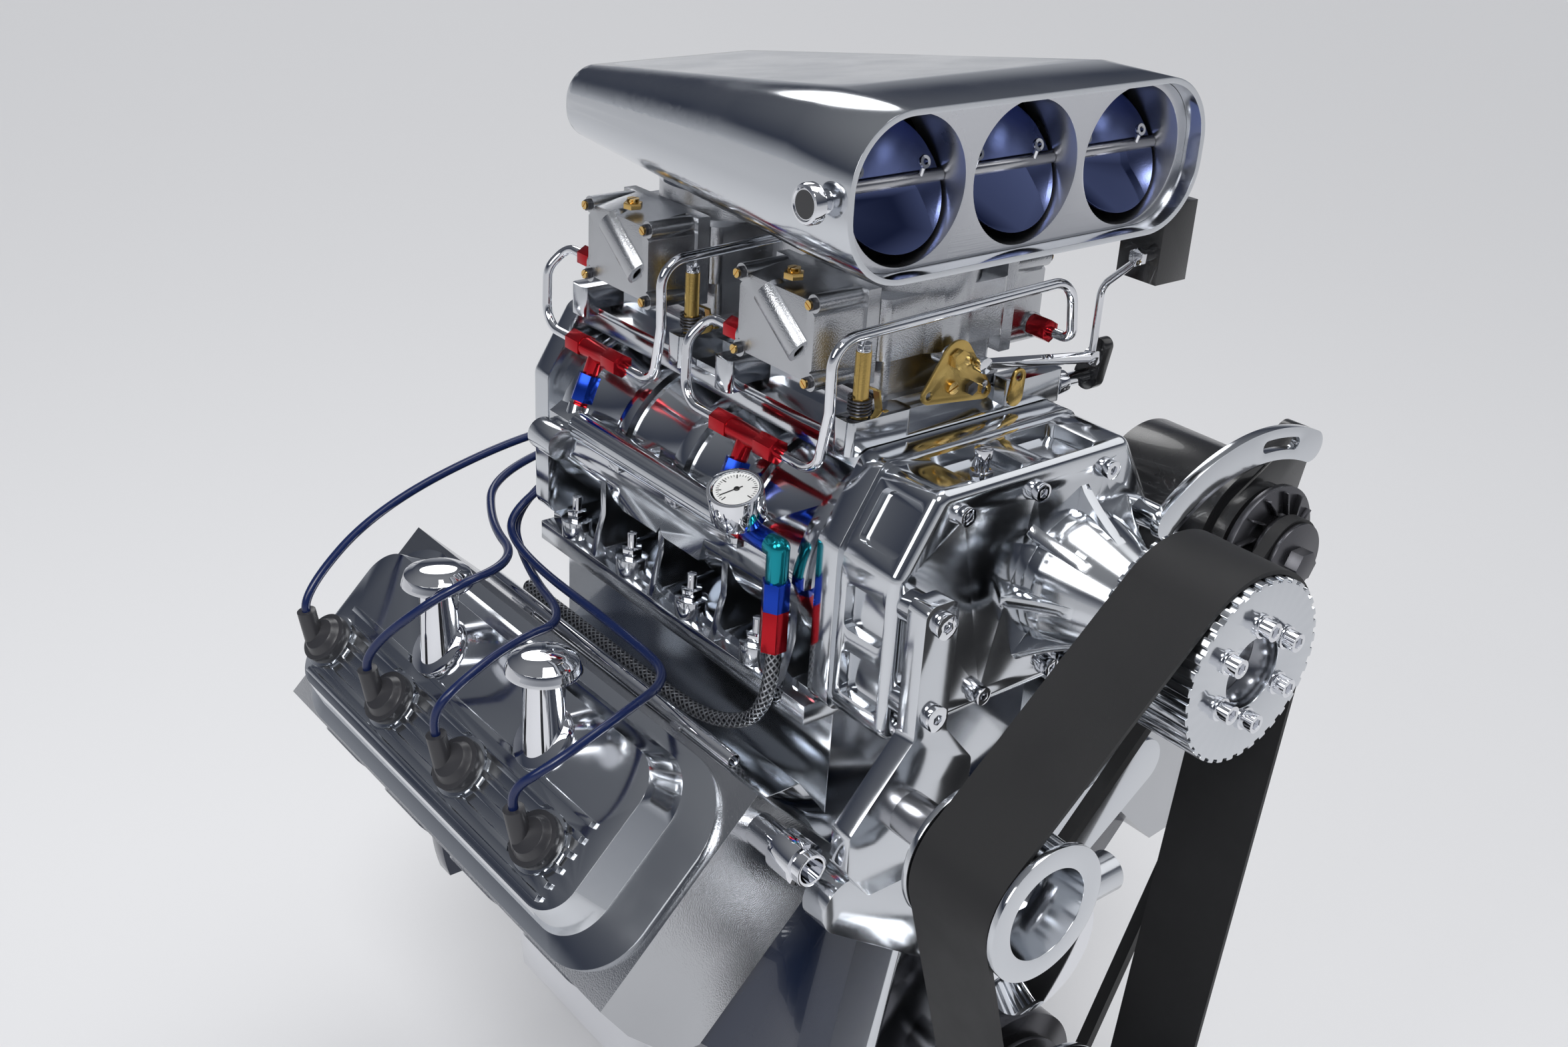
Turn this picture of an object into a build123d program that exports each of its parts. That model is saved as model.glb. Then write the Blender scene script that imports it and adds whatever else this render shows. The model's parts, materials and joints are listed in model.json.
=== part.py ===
from build123d import *
import os
from math import cos, degrees, atan2, hypot, pi, radians, sin, sqrt, tan

os.makedirs("parts", exist_ok=True)

# A V8 engine with a belt-driven two-rotor blower, two sideways four-barrel
# carburettors and a three-bore air scoop.
# Frame: +Z is up, -Y is the engine's front and +X its left-hand side.
# The origin is on the crank centreline, in the rear face of the block.

# Block
block_length = 530.0
half_bank_angle = 45.0
deck_height = 272.0
deck_half_width = 88.0
skirt_half_width = 168.0
skirt_height = 35.0
pan_rail_drop = 60.0
pan_rail_half_width = 150.0
valley_drop = 67.0
valley_half_width = 95.0
first_bore_setback = 110.0
last_bore_setback = 54.0
bank_stagger = 25.0

# Rear flange for the bellhousing
bell_thickness = 22.0
bell_radius = 208.0
bell_bolt_radius = 5.5
bell_low_spacing_x = 340.0
bell_low_spacing_z = 80.0
bell_high_spacing_x = 210.0
bell_high_height = 165.0

# Engine mount pads on the block's sides
pad_length = 130.0
pad_height = 80.0
pad_stand_out = 18.0
pad_root = 40.0
pad_bolt_spacing_y = 90.0
pad_bolt_spacing_z = 44.0
pad_bolt_radius = 5.5
pad_bolt_depth = 36.0

# Crankshaft ends
main_bore_radius = 32.0
running_clearance = 0.05
crank_flange_radius = 47.0
crank_flange_recess = 5.0
crank_flange_thickness = 18.0
crank_flange_well = 30.0
moving_clearance = 5.5
shaft_end_gap = 6.0
crank_bolt_circle = 70.0
crank_bolt_count = 6
crank_bolt_radius = 5.5
crank_bolt_floor = 3.0
pilot_radius = 12.5
pilot_depth = 20.0
rear_journal_length = 30.0
nose_radius = 20.0
nose_bearing_depth = 30.0
nose_hub_radius = 30.0

# Sump
sump_end_gap = 4.0
sump_flange_thickness = 6.0
sump_shallow = 70.0
sump_deep = 150.0
sump_deep_length = 260.0
sump_inset = 22.0
sump_draft = 4.0
gasket_gap = 0.3
bend_share = 0.45

# Timing cover and water pump
timing_depth = 45.0
timing_above_valley = 10.0
timing_foot_half_width = 128.0
timing_top_half_width = 74.0
timing_corner = 24.0
timing_edge = 6.0
pump_below_timing_top = 33.0
pump_body_radius = 52.0
pump_body_depth = 40.0
pump_arm_out = -70.7
pump_arm_above_deck = 36.3
pump_arm_radius = 24.0
pump_arm_depth = 25.0
pump_shaft_radius = 8.0
pump_pulley_radius = 58.0
pump_hub_radius = 22.0
hose_spigot_radius = 19.0
hose_spigot_length = 45.0
hose_spigot_root = 105.0
hose_spigot_root_radius = 21.0
hose_spigot_drop = 22.0

# Cylinder heads
head_front_margin = 117.0
head_rear_margin = 48.0
head_height = 123.0
head_half_width = 98.0
exhaust_face_out = 104.0
exhaust_face_low = 20.0
exhaust_face_high = 80.0
exhaust_port_radius = 19.0
exhaust_port_depth = 40.0
exhaust_pad_length = 84.0
exhaust_pad_height = 52.0
exhaust_pad_thickness = 5.0
exhaust_pad_corner = 12.0
header_bolt_circle = 64.0
header_bolt_radius = 4.5
header_bolt_depth = 20.0

# Valve covers, with their lengthwise ribs and plug pads
cover_flange_half_width = 93.0
cover_flange_thickness = 6.0
cover_flange_round = 60.0
cover_height = 35.0
cover_lid_half_width = 84.0
cover_lid_draft = 20.0
cover_lid_round = 45.0
cover_end_setback = 6.0
cover_lid_front_gap = 40.0
cover_lid_rear_gap = 8.0
cover_rib_height = 5.0
cover_rib_width = 5.0
cover_rib_end_gap = 36.0
cover_rib_rows = (-6.0, 8.0, 22.0, 36.0, 50.0, 62.0)
plug_row_out = 31.0
plug_pad_radius = 26.0
plug_pad_height = 3.0
pad_relief = 3.0

# Plug boots
boot_disc_radius = 23.0
boot_disc_height = 8.0
boot_dome_height = 6.0
boot_dome_inset = 4.0
boot_dome_draft = 35.0
boot_neck_radius = 8.5
boot_neck_foot = (9.0, 8.0, -8.0)
boot_neck_top = (15.5, 10.0, 31.0)

# Crankcase breathers on the covers
breather_out = -30.0
breather_base_radius = 29.0
breather_base_thickness = 5.0
breather_base_draft = 20.0
breather_waist_radius = 17.0
breather_cap_radius = 31.0
breather_cap_thickness = 14.0
breather_cap_flare = 8.0
breather_cap_shoulder = 5.0
breather_cap_edge = 3.0
breather_cap_crown = 14.0
breather_root = 21.0
breather_height = 78.5
breather_after_bore = (0.53, 1.94)

# Water outlet on the front of the right head
outlet_out = -78.0
outlet_below_head_top = 25.0
outlet_radius = 13.5
outlet_collar_radius = 17.0
outlet_length = 62.0
outlet_collar_start = 29.0
outlet_collar_width = 24.0
outlet_bore_radius = 10.5

# Blower manifold between the heads
manifold_overhang = 3.0
manifold_box_half_width = 112.0
manifold_top_half_width = 142.0
manifold_top_plate = 18.0
manifold_floor_above_valley = 35.0
manifold_foot_height = 74.0
manifold_foot_step = 34.0
manifold_foot_drop = 40.0
blower_base_above_deck = 113.0

# Blower case
rotor_offset = 52.0
rotor_height = 95.0
rotor_bore_radius = 73.5
case_wall = 8.0
case_front_setback = 28.0
case_rear_setback = 122.0
case_height = 200.0
case_flange_half_width = 130.0
case_flange_thickness = 7.0
case_core_half_width = 62.0
case_deck_half_width = 98.0
case_deck_thickness = 14.0
case_rib_count = 5
case_rib_front_gap = 16.0
case_rib_rear_gap = 30.0
case_rib_thickness = 15.0
case_rib_proud = 7.0
case_stud_count = 4
case_stud_front_gap = 75.0
case_stud_rear_gap = 38.0
case_stud_x = 129.0
case_stud_boss_radius = 14.0
case_stud_boss_height = 16.0
case_fin_thickness = 8.0
case_fin_half_width = 130.0
case_fin_foot_half_width = 141.0
case_fin_foot_height = 40.0
case_fin_chamfer = 12.0
fin_top_above_rotor = 12.0

# Plain raised panel on each side of the case
panel_top_half = 68.0
panel_low_half = 56.0
panel_high = 97.0
panel_low = 56.0
panel_proud = 2.0
panel_depth = 34.0
panel_notch_half = 5.0
panel_notch_height = 7.0

# Studs, nuts and socket bolts of the blower
stud_radius = 4.0
stud_height = 22.0
nut_radius = 9.5
nut_height = 9.0
socket_head_radius = 7.5
socket_head_height = 6.0
socket_hex_radius = 4.0
socket_depth = 4.0
bracket_bolt_head_radius = 10.0

# Bearing plate and the covers at the blower's ends
bearing_plate_thickness = 23.0
end_plate_half_width = 138.0
end_plate_top_half_width = 100.0
end_plate_shoulder_height = 143.0
end_plate_base_gap = 3.0
end_plate_top_rise = 4.0
end_plate_corner = 14.0
cover_step_in = 2.0
gear_cover_depth = 62.0
gear_cover_edge = 9.0
rear_cover_depth = 26.0
rear_cover_edge = 6.0
cover_bolt_radius = 4.8
cover_bolt_clearance = 0.3
cover_bolt_depth = 12.0
cover_bolt_below_top = 19.0
cover_bolt_pitch = 77.0
cover_bolt_side_inset = 16.0
cover_bolt_low_x = 38.0
cover_bolt_heights = (75.0, 19.0)
pocket_wall = 22.0
pocket_length = 48.0
pocket_setback = 33.0
pocket_corner = 6.0
pocket_depth = 11.0
shoulder_pocket_width = 44.0
shoulder_pocket_length = 42.0
side_pocket_height = 38.0
side_pocket_heights = (102.0, 47.0)

# Small vent fitting in the gear cover's right-hand pocket
vent_x = -42.0
vent_behind_front = 20.0
vent_hex_radius = 9.0
vent_hex_height = 9.0
vent_neck_radius = 5.5
vent_cap_radius = 7.0
vent_height = 26.0

# Drive snout
snout_root_radius = 58.0
snout_root_lip = 10.0
snout_neck_radius = 38.0
snout_root_length = 70.0
snout_nose_gap = 9.0
snout_fin_thickness = 9.0
snout_fin_reach = 78.0
snout_fin_length = 76.0
snout_fin_count = 8
snout_fin_belly = 0.32
drive_shaft_radius = 15.0
drive_shaft_seat = 34.0

# Toothed belt drive: 12.7 mm pitch
tooth_pitch = 12.7
tooth_depth = 2.8
tooth_gap_share = 0.42
belt_pitch_line = 0.75
belt_width = 76.2
belt_inset = 6.5
belt_thickness = 3.6
belt_clearance = 0.4
upper_teeth = 36
idler_teeth = 24
lower_teeth = 40
idler_x = -135.0
idler_below_blower_base = 33.4
pulley_width = 89.0
upper_web_thickness = 22.0
upper_bore_radius = 28.5
upper_rim_wall = 12.0
drive_flange_overhang = 8.5
drive_flange_thickness = 9.0
pulley_bolt_circle = 37.5
pulley_bolt_count = 6
pulley_bolt_turn = 30.0
pulley_bolt_head_radius = 7.2
pulley_bolt_head_height = 9.5
pulley_bolt_hex_radius = 4.6
pulley_bolt_hex_depth = 5.0
washer_radius = 9.0
washer_thickness = 2.0
flange_thickness = 5.0
idler_flange_overhang = 5.4
idler_rim_wall = 12.2
idler_cup_depth = 42.0
idler_stud_radius = 12.0
idler_spacer_radius = 18.0
idler_hub_gap = 5.5
idler_nut_radius = 17.0
idler_nut_height = 10.0
lower_flange_overhang = 6.0
lower_bore_radius = 26.0
lower_rim_wall = 18.0
lower_cup_depth = 40.0
lower_web_thickness = 20.0
lower_hub_radius = 34.0

# Idler bracket
bracket_standoff = 14.0
bracket_thickness = 19.0
bracket_bolt_inset = 17.0
bracket_bolt_high = 121.0
bracket_bolt_low = 45.0
bracket_paddle_radius = 61.0
# Columns: x and z of a corner from the idler's centre, in paddle radii
bracket_paddle_corners = ((1.0, 0.43), (1.0, -0.62), (0.5, -1.0), (-0.55, -1.0), (-0.93, -0.5), (-0.93, 0.0))
bracket_neck_half_width = 16.0
bracket_foot_radius = 13.0
bracket_corner = 9.0

# Damper and grooved pulleys
damper_radius = 88.0
damper_gap = 27.0
damper_thickness = 30.0
groove_gap = 6.0
groove_pulley_width = 20.0
toothed_gap = 13.0
crank_groove_radius = 70.0
alternator_groove_radius = 33.0
groove_depth = 8.0
groove_slack = 0.6
drive_belt_thickness = 9.0
drive_belt_width = 11.0
drive_belt_proud = 2.5

# Alternator, its slotted arc and its lower mount
alternator_x = 244.0
alternator_above_blower_base = 85.0
alternator_radius = 66.0
alternator_nose_step = 12.0
alternator_nose_inset = 14.0
alternator_behind_groove = 18.0
alternator_depth = 128.0
alternator_shaft_radius = 8.5
alternator_shaft_depth = 40.0
alternator_hub_radius = 18.0
alternator_fan_radius = 56.0
alternator_fan_thickness = 6.0
alternator_fan_gap = 6.0
alternator_nut_radius = 13.5
alternator_nut_height = 12.0
alternator_ear_radius = 14.0
alternator_ear_depth = 22.0
pivot_inset = 10.0
pivot_drop = 84.0
arc_start_inset = 14.0
arc_start_height = 134.0
arc_foot_radius = 11.0
arc_standoff = 23.0
arc_end_angle = 67.0
arc_half_width = 14.0
arc_thickness = 8.0
arc_slot_share = 0.55
arc_slot_half_width = 5.5
arc_slot_end_angle = 9.0
arc_slot_start_angle = 6.0
mount_plate_thickness = 10.0
mount_plate_radius = 14.0
mount_plate_out = -70.0

# Carburettor adapter on the blower
adapter_end_margin = 1.0
adapter_half_width = 97.0
adapter_flange_thickness = 6.0
adapter_height = 18.0
adapter_block_half_width = 71.0
adapter_block_setback = 17.0
adapter_foot_x = 82.0
adapter_foot_length = 62.0
adapter_foot_height = 27.0
throttle_bore_radius = 21.5
throttle_bore_spacing = 47.5

# Carburettors, mounted sideways: fuel bowls to the left and right
carb_end_setback = 85.0
carb_base_half_length = 66.0
carb_base_half_width = 62.0
carb_base_thickness = 9.0
carb_base_corner = 12.0
carb_throttle_corner = 8.0
carb_body_corner = 10.0
carb_throttle_height = 30.0
carb_throttle_half = 58.0
carb_throttle_half_width = 54.0
carb_body_height = 48.0
carb_body_half_length = 66.0
carb_body_half_width = 60.0
carb_height = 108.0
air_horn_radius = 65.0
air_horn_wall = 4.0
air_horn_depth = 16.0
metering_thickness = 12.0
metering_overhang = 4.0
bowl_depth = 42.0
bowl_half_width = 50.0
bowl_low = 22.0
bowl_high = 96.0
bowl_corner = 14.0
bowl_draft = 8.0
bowl_tube_radius = 15.0
bowl_tube_bore = 10.5
bowl_tube_start = 15.0
bowl_tube_lean = 37.0
bowl_tube_reach = 55.0
bowl_lug_radius = 7.0
bowl_lug_y = 42.5
bowl_lug_z = 30.0
inlet_x = 108.0
inlet_height = 36.0
inlet_boss_radius = 10.0
shaft_boss_radius = 9.0
shaft_boss_reach = 66.0

# Air scoop
scoop_front_reach = 135.0
scoop_rear_reach = 95.0
scoop_above_carb = 22.0
scoop_rim_margin = 11.5
scoop_bore_lip = 7.0
scoop_rim_corner = 52.0
scoop_straight = 70.0
scoop_tail_half_width = 110.0
scoop_tail_height = 62.0
scoop_tail_corner = 28.0
scoop_wall = 4.5
scoop_neck_overhang = 1.5
scoop_neck_seat = 0.3
scoop_plate_setback = 14.0
scoop_plate_thickness = 5.0
scoop_bore_spacing = 111.0
scoop_bore_radius = 51.5
scoop_barrel_length = 40.0
scoop_barrel_wall = 2.0
butterfly_thickness = 2.5
butterfly_tilt = 28.0
butterfly_rim_gap = 2.4
butterfly_gap = 0.4
scoop_shaft_radius = 5.0

# Fuel log along the blower's right side, with a knob on its rear fitting
log_beside_lobe = 18.0
log_height = 126.0
log_radius = 12.4
log_groove_count = 12
log_groove_width = 1.6
log_groove_depth = 1.0
log_front_setback = 77.0
log_rear_setback = 78.0
log_clamp_width = 16.0
log_clamp_height = 14.0
log_boss_radius = 9.5
log_boss_reach = 16.0
log_hex_radius = 13.5
log_hex_length = 30.0
log_stub_radius = 8.0
log_knob_radius = 14.0
log_knob_out = 20.0
log_knob_drop = 12.0
log_knob_length = 34.0

# Tees above the log, and the hard lines to the bowls
tee_in = 24.0
tee_above_log = 59.0
tee_behind_carb = 17.0
tee_half_length = 38.0
tee_radius = 8.5
tee_nut_radius = 10.5
tee_nut_length = 20.0
stem_radius = 7.0
stem_hex_radius = 10.5
stem_hex_start = 20.0
stem_hex_length = 24.0
line_radius = 4.2
line_bend = 22.0
line_run = 45.0
inlet_nut_radius = 9.5
inlet_nut_length = 18.0

# Gauge on the log's front fitting
gauge_radius = 21.7
gauge_depth = 27.0
gauge_bezel = 3.5
gauge_dial_recess = 2.0
gauge_stem_radius = 5.5
gauge_stem_rise = 7.0
gauge_shift = (-18.0, -10.0, 41.0)
gauge_lean = (-0.30, -0.15, 0.94)

# Supply hose, from the elbow at the log's front to the manifold's rear
end_hex_radius = 11.0
end_hex_length = 12.0
end_boss_radius = 5.8
elbow_radius = 9.0
elbow_lead = 28.0
elbow_reach = 49.0
elbow_drop = 27.0
collar_radius = 11.5
blue_collar_length = 24.0
red_collar_length = 35.0
hose_radius = 6.2
hose_bend = 70.0
hose_fall = 60.0
# Columns: x and y of a bend of the hose from the elbow, height above the line it rests on
hose_bends = ((-6.0, 54.0, 8.0), (-8.0, 129.0, 0.0))

# Throttle linkage on the carburettors' fronts
throttle_shaft_radius = 5.0
throttle_shaft_height = 35.0
throttle_shaft_reach = 78.0
plate_thickness = 2.5
plate_front_reach = 74.5
linkage_nut_radius = 8.5
linkage_nut_height = 5.0
link_hole_radius = 3.5
brass_post_radius = 6.0
brass_post_x = -96.0
brass_post_hex_height = 14.0
brass_post_height = 50.0
bowl_screw_radius = 5.0
bowl_screw_height = 4.0

# Link rod, cross shaft and their lever at the left
hex_rod_radius = 5.0
rod_reach = 83.0
rod_start = (18.0, 30.0)
rod_end_rise = 12.0
rod_eye_radius = 6.5
rod_eye_width = 9.0
rod_stud_radius = 4.0
cross_boss_radius = 10.0
cross_boss_length = 11.0
cross_shaft_radius = 6.0
cross_shaft_rise = 10.0
lever_x = 152.0
lever_thickness = 10.0
lever_foot_radius = 12.0
lever_tip_radius = 7.0
lever_tip_rise = 28.0

# Scoop lever block and its rod
block_inner_x = 150.0
block_width = 36.0
block_front_setback = 4.0
block_depth = 40.0
block_low = 45.0
block_high = 19.0
scoop_rod_radius = 3.2
scoop_rod_rise = 60.0
scoop_pin_radius = 5.0
scoop_pin_length = 16.0
scoop_nut_radius = 7.5
scoop_nut_height = 5.0

# Distributor at the rear of the valley
distributor_gap = 18.0
distributor_radius = 33.0
distributor_base_radius = 22.0
distributor_stem = 125.0
distributor_cap_height = 48.0
distributor_post_radius = 6.5
distributor_post_circle = 22.0
distributor_post_count = 8
distributor_post_height = 16.0
distributor_draft = 5.0

# Wire tubes beside the covers, and the plug wires
loom_out = -106.1
loom_below_head_top = 24.5
loom_radius = 6.0
loom_wall = 1.2
loom_front_setback = 52.0
loom_length = 368.0
loom_saddle_setback = 70.0
wire_radius = 4.0
wire_bend = 34.0
wire_rise = 18.0
wire_drop = 30.0

# Worked out from the sizes above
right = -1
left = 1
tilt_cos = cos(radians(half_bank_angle))
tilt_sin = sin(radians(half_bank_angle))
block_front = -block_length
bore_spacing = (block_length - first_bore_setback - last_bore_setback) / 3
head_length = 3 * bore_spacing + head_front_margin + head_rear_margin
head_top = deck_height + head_height
cover_top = head_top + cover_height
seat_up = cover_top + plug_pad_height
exhaust_low = deck_height + exhaust_face_low
exhaust_high = deck_height + exhaust_face_high
valley_floor_height = deck_height - valley_drop
pad_face_x = skirt_half_width + pad_stand_out
timing_top = valley_floor_height + timing_above_valley
pump_center_z = timing_top - pump_below_timing_top
blower_base_z = deck_height + blower_base_above_deck
rotor_z = blower_base_z + rotor_height
case_top_z = blower_base_z + case_height
end_plate_shoulder_z = blower_base_z + end_plate_shoulder_height
case_front = block_front + case_front_setback
case_rear = -case_rear_setback
case_length = case_rear - case_front
bearing_front = case_front - bearing_plate_thickness
gear_cover_front = bearing_front - gear_cover_depth
upper_radius = upper_teeth * tooth_pitch / (2 * pi) - belt_pitch_line
idler_radius = idler_teeth * tooth_pitch / (2 * pi) - belt_pitch_line
lower_radius = lower_teeth * tooth_pitch / (2 * pi) - belt_pitch_line
lower_flange_radius = lower_radius + lower_flange_overhang
timing_front = block_front - timing_depth
pump_front = timing_front - pump_body_depth
damper_rear = timing_front - damper_gap
damper_front = damper_rear - damper_thickness
groove_rear = damper_front - groove_gap
groove_front = groove_rear - groove_pulley_width
groove_mid = (groove_front + groove_rear) / 2
pulley_rear = groove_front - toothed_gap
pulley_front = pulley_rear - pulley_width
belt_front = pulley_front + belt_inset
belt_rear = belt_front + belt_width
web_rear = pulley_front + upper_web_thickness
drive_flange_rear = web_rear + drive_flange_thickness
snout_nose_y = drive_flange_rear + snout_nose_gap
idler_z = blower_base_z - idler_below_blower_base
idler_flange_radius = idler_radius + idler_flange_overhang
bracket_bolt_x = -(end_plate_half_width - bracket_bolt_inset)
bracket_rear = gear_cover_front - bracket_standoff
bracket_front = bracket_rear - bracket_thickness
alternator_z = blower_base_z + alternator_above_blower_base
alternator_front = groove_rear + alternator_behind_groove
pivot_x = alternator_x - pivot_inset
pivot_z = alternator_z - pivot_drop
arc_rear = gear_cover_front - arc_standoff
carb_centers_y = (case_front + carb_end_setback, case_rear - carb_end_setback)
adapter_front = case_front + adapter_end_margin
adapter_rear = case_rear - adapter_end_margin
adapter_top = case_top_z + adapter_height
carb_top = adapter_top + carb_height
scoop_front = carb_centers_y[0] - scoop_front_reach
scoop_rear = carb_centers_y[1] + scoop_rear_reach
scoop_rim_low = carb_top + scoop_above_carb
scoop_rim_half_width = scoop_bore_spacing + scoop_bore_radius + scoop_barrel_wall + scoop_rim_margin
scoop_rim_height = 2 * (scoop_bore_radius + scoop_bore_lip)
scoop_neck_radius = air_horn_radius + scoop_neck_overhang
lobe_radius = rotor_bore_radius + case_wall
log_x = -(rotor_offset + lobe_radius + log_beside_lobe)
log_z = blower_base_z + log_height
log_front = case_front + log_front_setback
log_rear = case_rear - log_rear_setback
distributor_y = case_rear + rear_cover_depth + distributor_gap + distributor_radius
distributor_cap_z = valley_floor_height + distributor_stem
distributor_top_z = distributor_cap_z + distributor_cap_height


def at_y(y):
    """A plane across the engine at the given y; its normal points to the front."""
    return Plane.XZ.offset(-y)


def bank_point(side, out, up):
    """The x and z of a point that lies up the bank's axis and outboard of it."""
    x = side * (up * tilt_sin + out * tilt_cos)
    z = up * tilt_cos - out * tilt_sin
    return (x, z)


def bank_outline(side, points):
    """Bank-frame points (out, up) as x and z pairs."""
    return [bank_point(side, out, up) for out, up in points]


def deck_plane(side, out, up, y):
    """A plane facing up the bank's axis; its local y points outboard."""
    x, z = bank_point(side, out, up)
    return Plane(origin=(x, y, z), x_dir=(0, -side, 0), z_dir=(side * tilt_sin, 0, tilt_cos))


def outboard_plane(side, out, up, y):
    """A plane facing straight outboard of the bank."""
    x, z = bank_point(side, out, up)
    return Plane(origin=(x, y, z), x_dir=(0, side, 0), z_dir=(side * tilt_cos, 0, -tilt_sin))


def bore_y(side, index):
    """The y of a cylinder, counted from the front of its bank."""
    stagger = bank_stagger if side == left else 0.0
    return block_front + first_bore_setback - stagger + index * bore_spacing


def boot_neck(side, index):
    """The foot and top of a plug boot's neck; its wire leaves at the top."""
    x, z = bank_point(side, plug_row_out, seat_up)
    seat = Vector(x, bore_y(side, index), z)
    ends = [Vector(side * out, behind, rise) for out, behind, rise in (boot_neck_foot, boot_neck_top)]
    return [seat + end for end in ends]


def save(piece, name):
    """Label a finished piece and write its file."""
    piece.part.label = name
    export_step(piece.part, f"parts/{name}.step")


def slab(sketch, depth, mode=Mode.ADD):
    """Extrude a finished sketch to the front by depth, into the open part."""
    extrude(sketch, amount=depth, dir=(0, -1, 0), mode=mode)


def disc(x, z, radius, front, rear, mode=Mode.ADD):
    """A plain round slice along the engine, between two y values."""
    with BuildSketch(at_y(rear)) as section:
        with Locations((x, z)):
            Circle(radius)
    slab(section.sketch, rear - front, mode)


def hull_face(y, circles, extra=0.0):
    """The face inside a taut band round circles (x, z, radius), each larger by extra."""
    with BuildSketch(at_y(y)) as band:
        with BuildLine():
            for x, z, radius in circles:
                CenterArc((x, z), radius + extra, 0, 360)
        make_hull()
    return band.sketch


def bar(start, end, radius, sides=0, mode=Mode.ADD):
    """A straight round or many-sided bar between two points, into the open part."""
    way = Vector(end) - Vector(start)
    with BuildSketch(Plane(origin=start, z_dir=way)) as section:
        if sides:
            RegularPolygon(radius, sides)
        else:
            Circle(radius)
    extrude(section.sketch, amount=way.length, dir=way.normalized(), mode=mode)


def bent_tube(points, bend, radius):
    """A round tube in the open part: straight runs joined by arcs, tighter where a run is short."""
    corners = [Vector(*point) for point in points]
    with BuildLine() as path:
        start = corners[0]
        for before, corner, after in zip(corners, corners[1:], corners[2:]):
            back = (before - corner).normalized()
            ahead = (after - corner).normalized()
            half_turn = radians(180 - back.get_angle(ahead)) / 2
            shorter = min((before - corner).length, (after - corner).length)
            reach = min(bend * tan(half_turn), bend_share * shorter)
            to_middle = reach / tan(half_turn) * (1 / cos(half_turn) - 1)
            arc_start = corner + back * reach
            arc_end = corner + ahead * reach
            Line(start, arc_start)
            ThreePointArc(arc_start, corner + (back + ahead).normalized() * to_middle, arc_end)
            start = arc_end
        Line(start, corners[-1])
    with BuildSketch(Plane(origin=path.line @ 0, z_dir=path.line % 0)) as section:
        Circle(radius)
    sweep(section.sketch, path=path.line)


# Engine block: crankcase, two decks, rear flange and mount pads
deck_outer = bank_point(left, deck_half_width, deck_height)
deck_inner = bank_point(left, -deck_half_width, deck_height)
half_block = [
    (0, valley_floor_height),
    (valley_half_width, valley_floor_height),
    deck_inner,
    deck_outer,
    (skirt_half_width, skirt_height),
    (pan_rail_half_width, -pan_rail_drop),
    (0, -pan_rail_drop),
]
with BuildPart() as engine_block:
    with BuildSketch(at_y(0)):
        with BuildLine():
            Polyline(*half_block, close=True)
        make_face()
        mirror(about=Plane.YZ)
    extrude(amount=block_length)
    with BuildSketch(at_y(0)):
        Circle(bell_radius)
        with Locations((0, -pan_rail_drop - bell_radius)):
            Rectangle(3 * bell_radius, 2 * bell_radius, mode=Mode.SUBTRACT)
    extrude(amount=bell_thickness)
    for side in (right, left):
        pad_center_y = block_front / 2 - (bank_stagger if side == left else 0)
        pad_face = Plane.YZ.offset(side * pad_face_x)
        with BuildSketch(pad_face):
            with Locations((pad_center_y, 0)):
                Rectangle(pad_length, pad_height)
        extrude(amount=-side * pad_root)
        with BuildSketch(pad_face):
            with Locations((pad_center_y, 0)):
                with GridLocations(pad_bolt_spacing_y, pad_bolt_spacing_z, 2, 2):
                    Circle(pad_bolt_radius)
        extrude(amount=-side * pad_bolt_depth, mode=Mode.SUBTRACT)
    with BuildSketch(at_y(0)):
        with GridLocations(bell_low_spacing_x, bell_low_spacing_z, 2, 2):
            Circle(bell_bolt_radius)
        with Locations((0, bell_high_height)):
            with GridLocations(bell_high_spacing_x, 1, 2, 1):
                Circle(bell_bolt_radius)
    extrude(amount=bell_thickness, mode=Mode.SUBTRACT)
    with BuildSketch(at_y(0)):
        Circle(crank_flange_radius + moving_clearance)
    extrude(amount=crank_flange_well, mode=Mode.SUBTRACT)
    with BuildSketch(at_y(-crank_flange_well)):
        Circle(main_bore_radius + running_clearance)
    extrude(amount=rear_journal_length, mode=Mode.SUBTRACT)
    with BuildSketch(at_y(block_front + nose_bearing_depth)):
        Circle(nose_radius + running_clearance)
    extrude(amount=nose_bearing_depth, mode=Mode.SUBTRACT)
save(engine_block, "engine_block")

# Sump: a shallow front and a deep rear well
sump_top = -pan_rail_drop - gasket_gap
with BuildPart() as oil_pan:
    with BuildSketch(Plane.XY.offset(sump_top)):
        with Locations((0, -block_length / 2)):
            Rectangle(2 * pan_rail_half_width, block_length - 2 * sump_end_gap)
    extrude(amount=-sump_flange_thickness)
    with BuildSketch(Plane.XY.offset(sump_top)):
        with Locations((0, -block_length / 2)):
            Rectangle(2 * (pan_rail_half_width - sump_inset), block_length - 2 * sump_inset)
    extrude(amount=-sump_shallow)
    with BuildSketch(Plane.XY.offset(sump_top)):
        with Locations((0, -sump_inset - sump_deep_length / 2)):
            Rectangle(2 * (pan_rail_half_width - sump_inset), sump_deep_length)
    extrude(amount=-sump_deep, taper=sump_draft)
save(oil_pan, "oil_pan")

# Timing cover with the front seal
with BuildPart() as timing_cover:
    with BuildSketch(at_y(block_front)):
        with BuildLine():
            Polyline(
                (-timing_foot_half_width, -pan_rail_drop),
                (timing_foot_half_width, -pan_rail_drop),
                (timing_top_half_width, timing_top),
                (-timing_top_half_width, timing_top),
                close=True,
            )
        make_face()
        fillet(vertices().group_by(Axis.Y)[-1], radius=timing_corner)
        Circle(nose_radius + running_clearance, mode=Mode.SUBTRACT)
    extrude(amount=timing_depth)
    fillet(faces().sort_by(Axis.Y)[0].outer_wire().edges(), radius=timing_edge)
save(timing_cover, "timing_cover")

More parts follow.
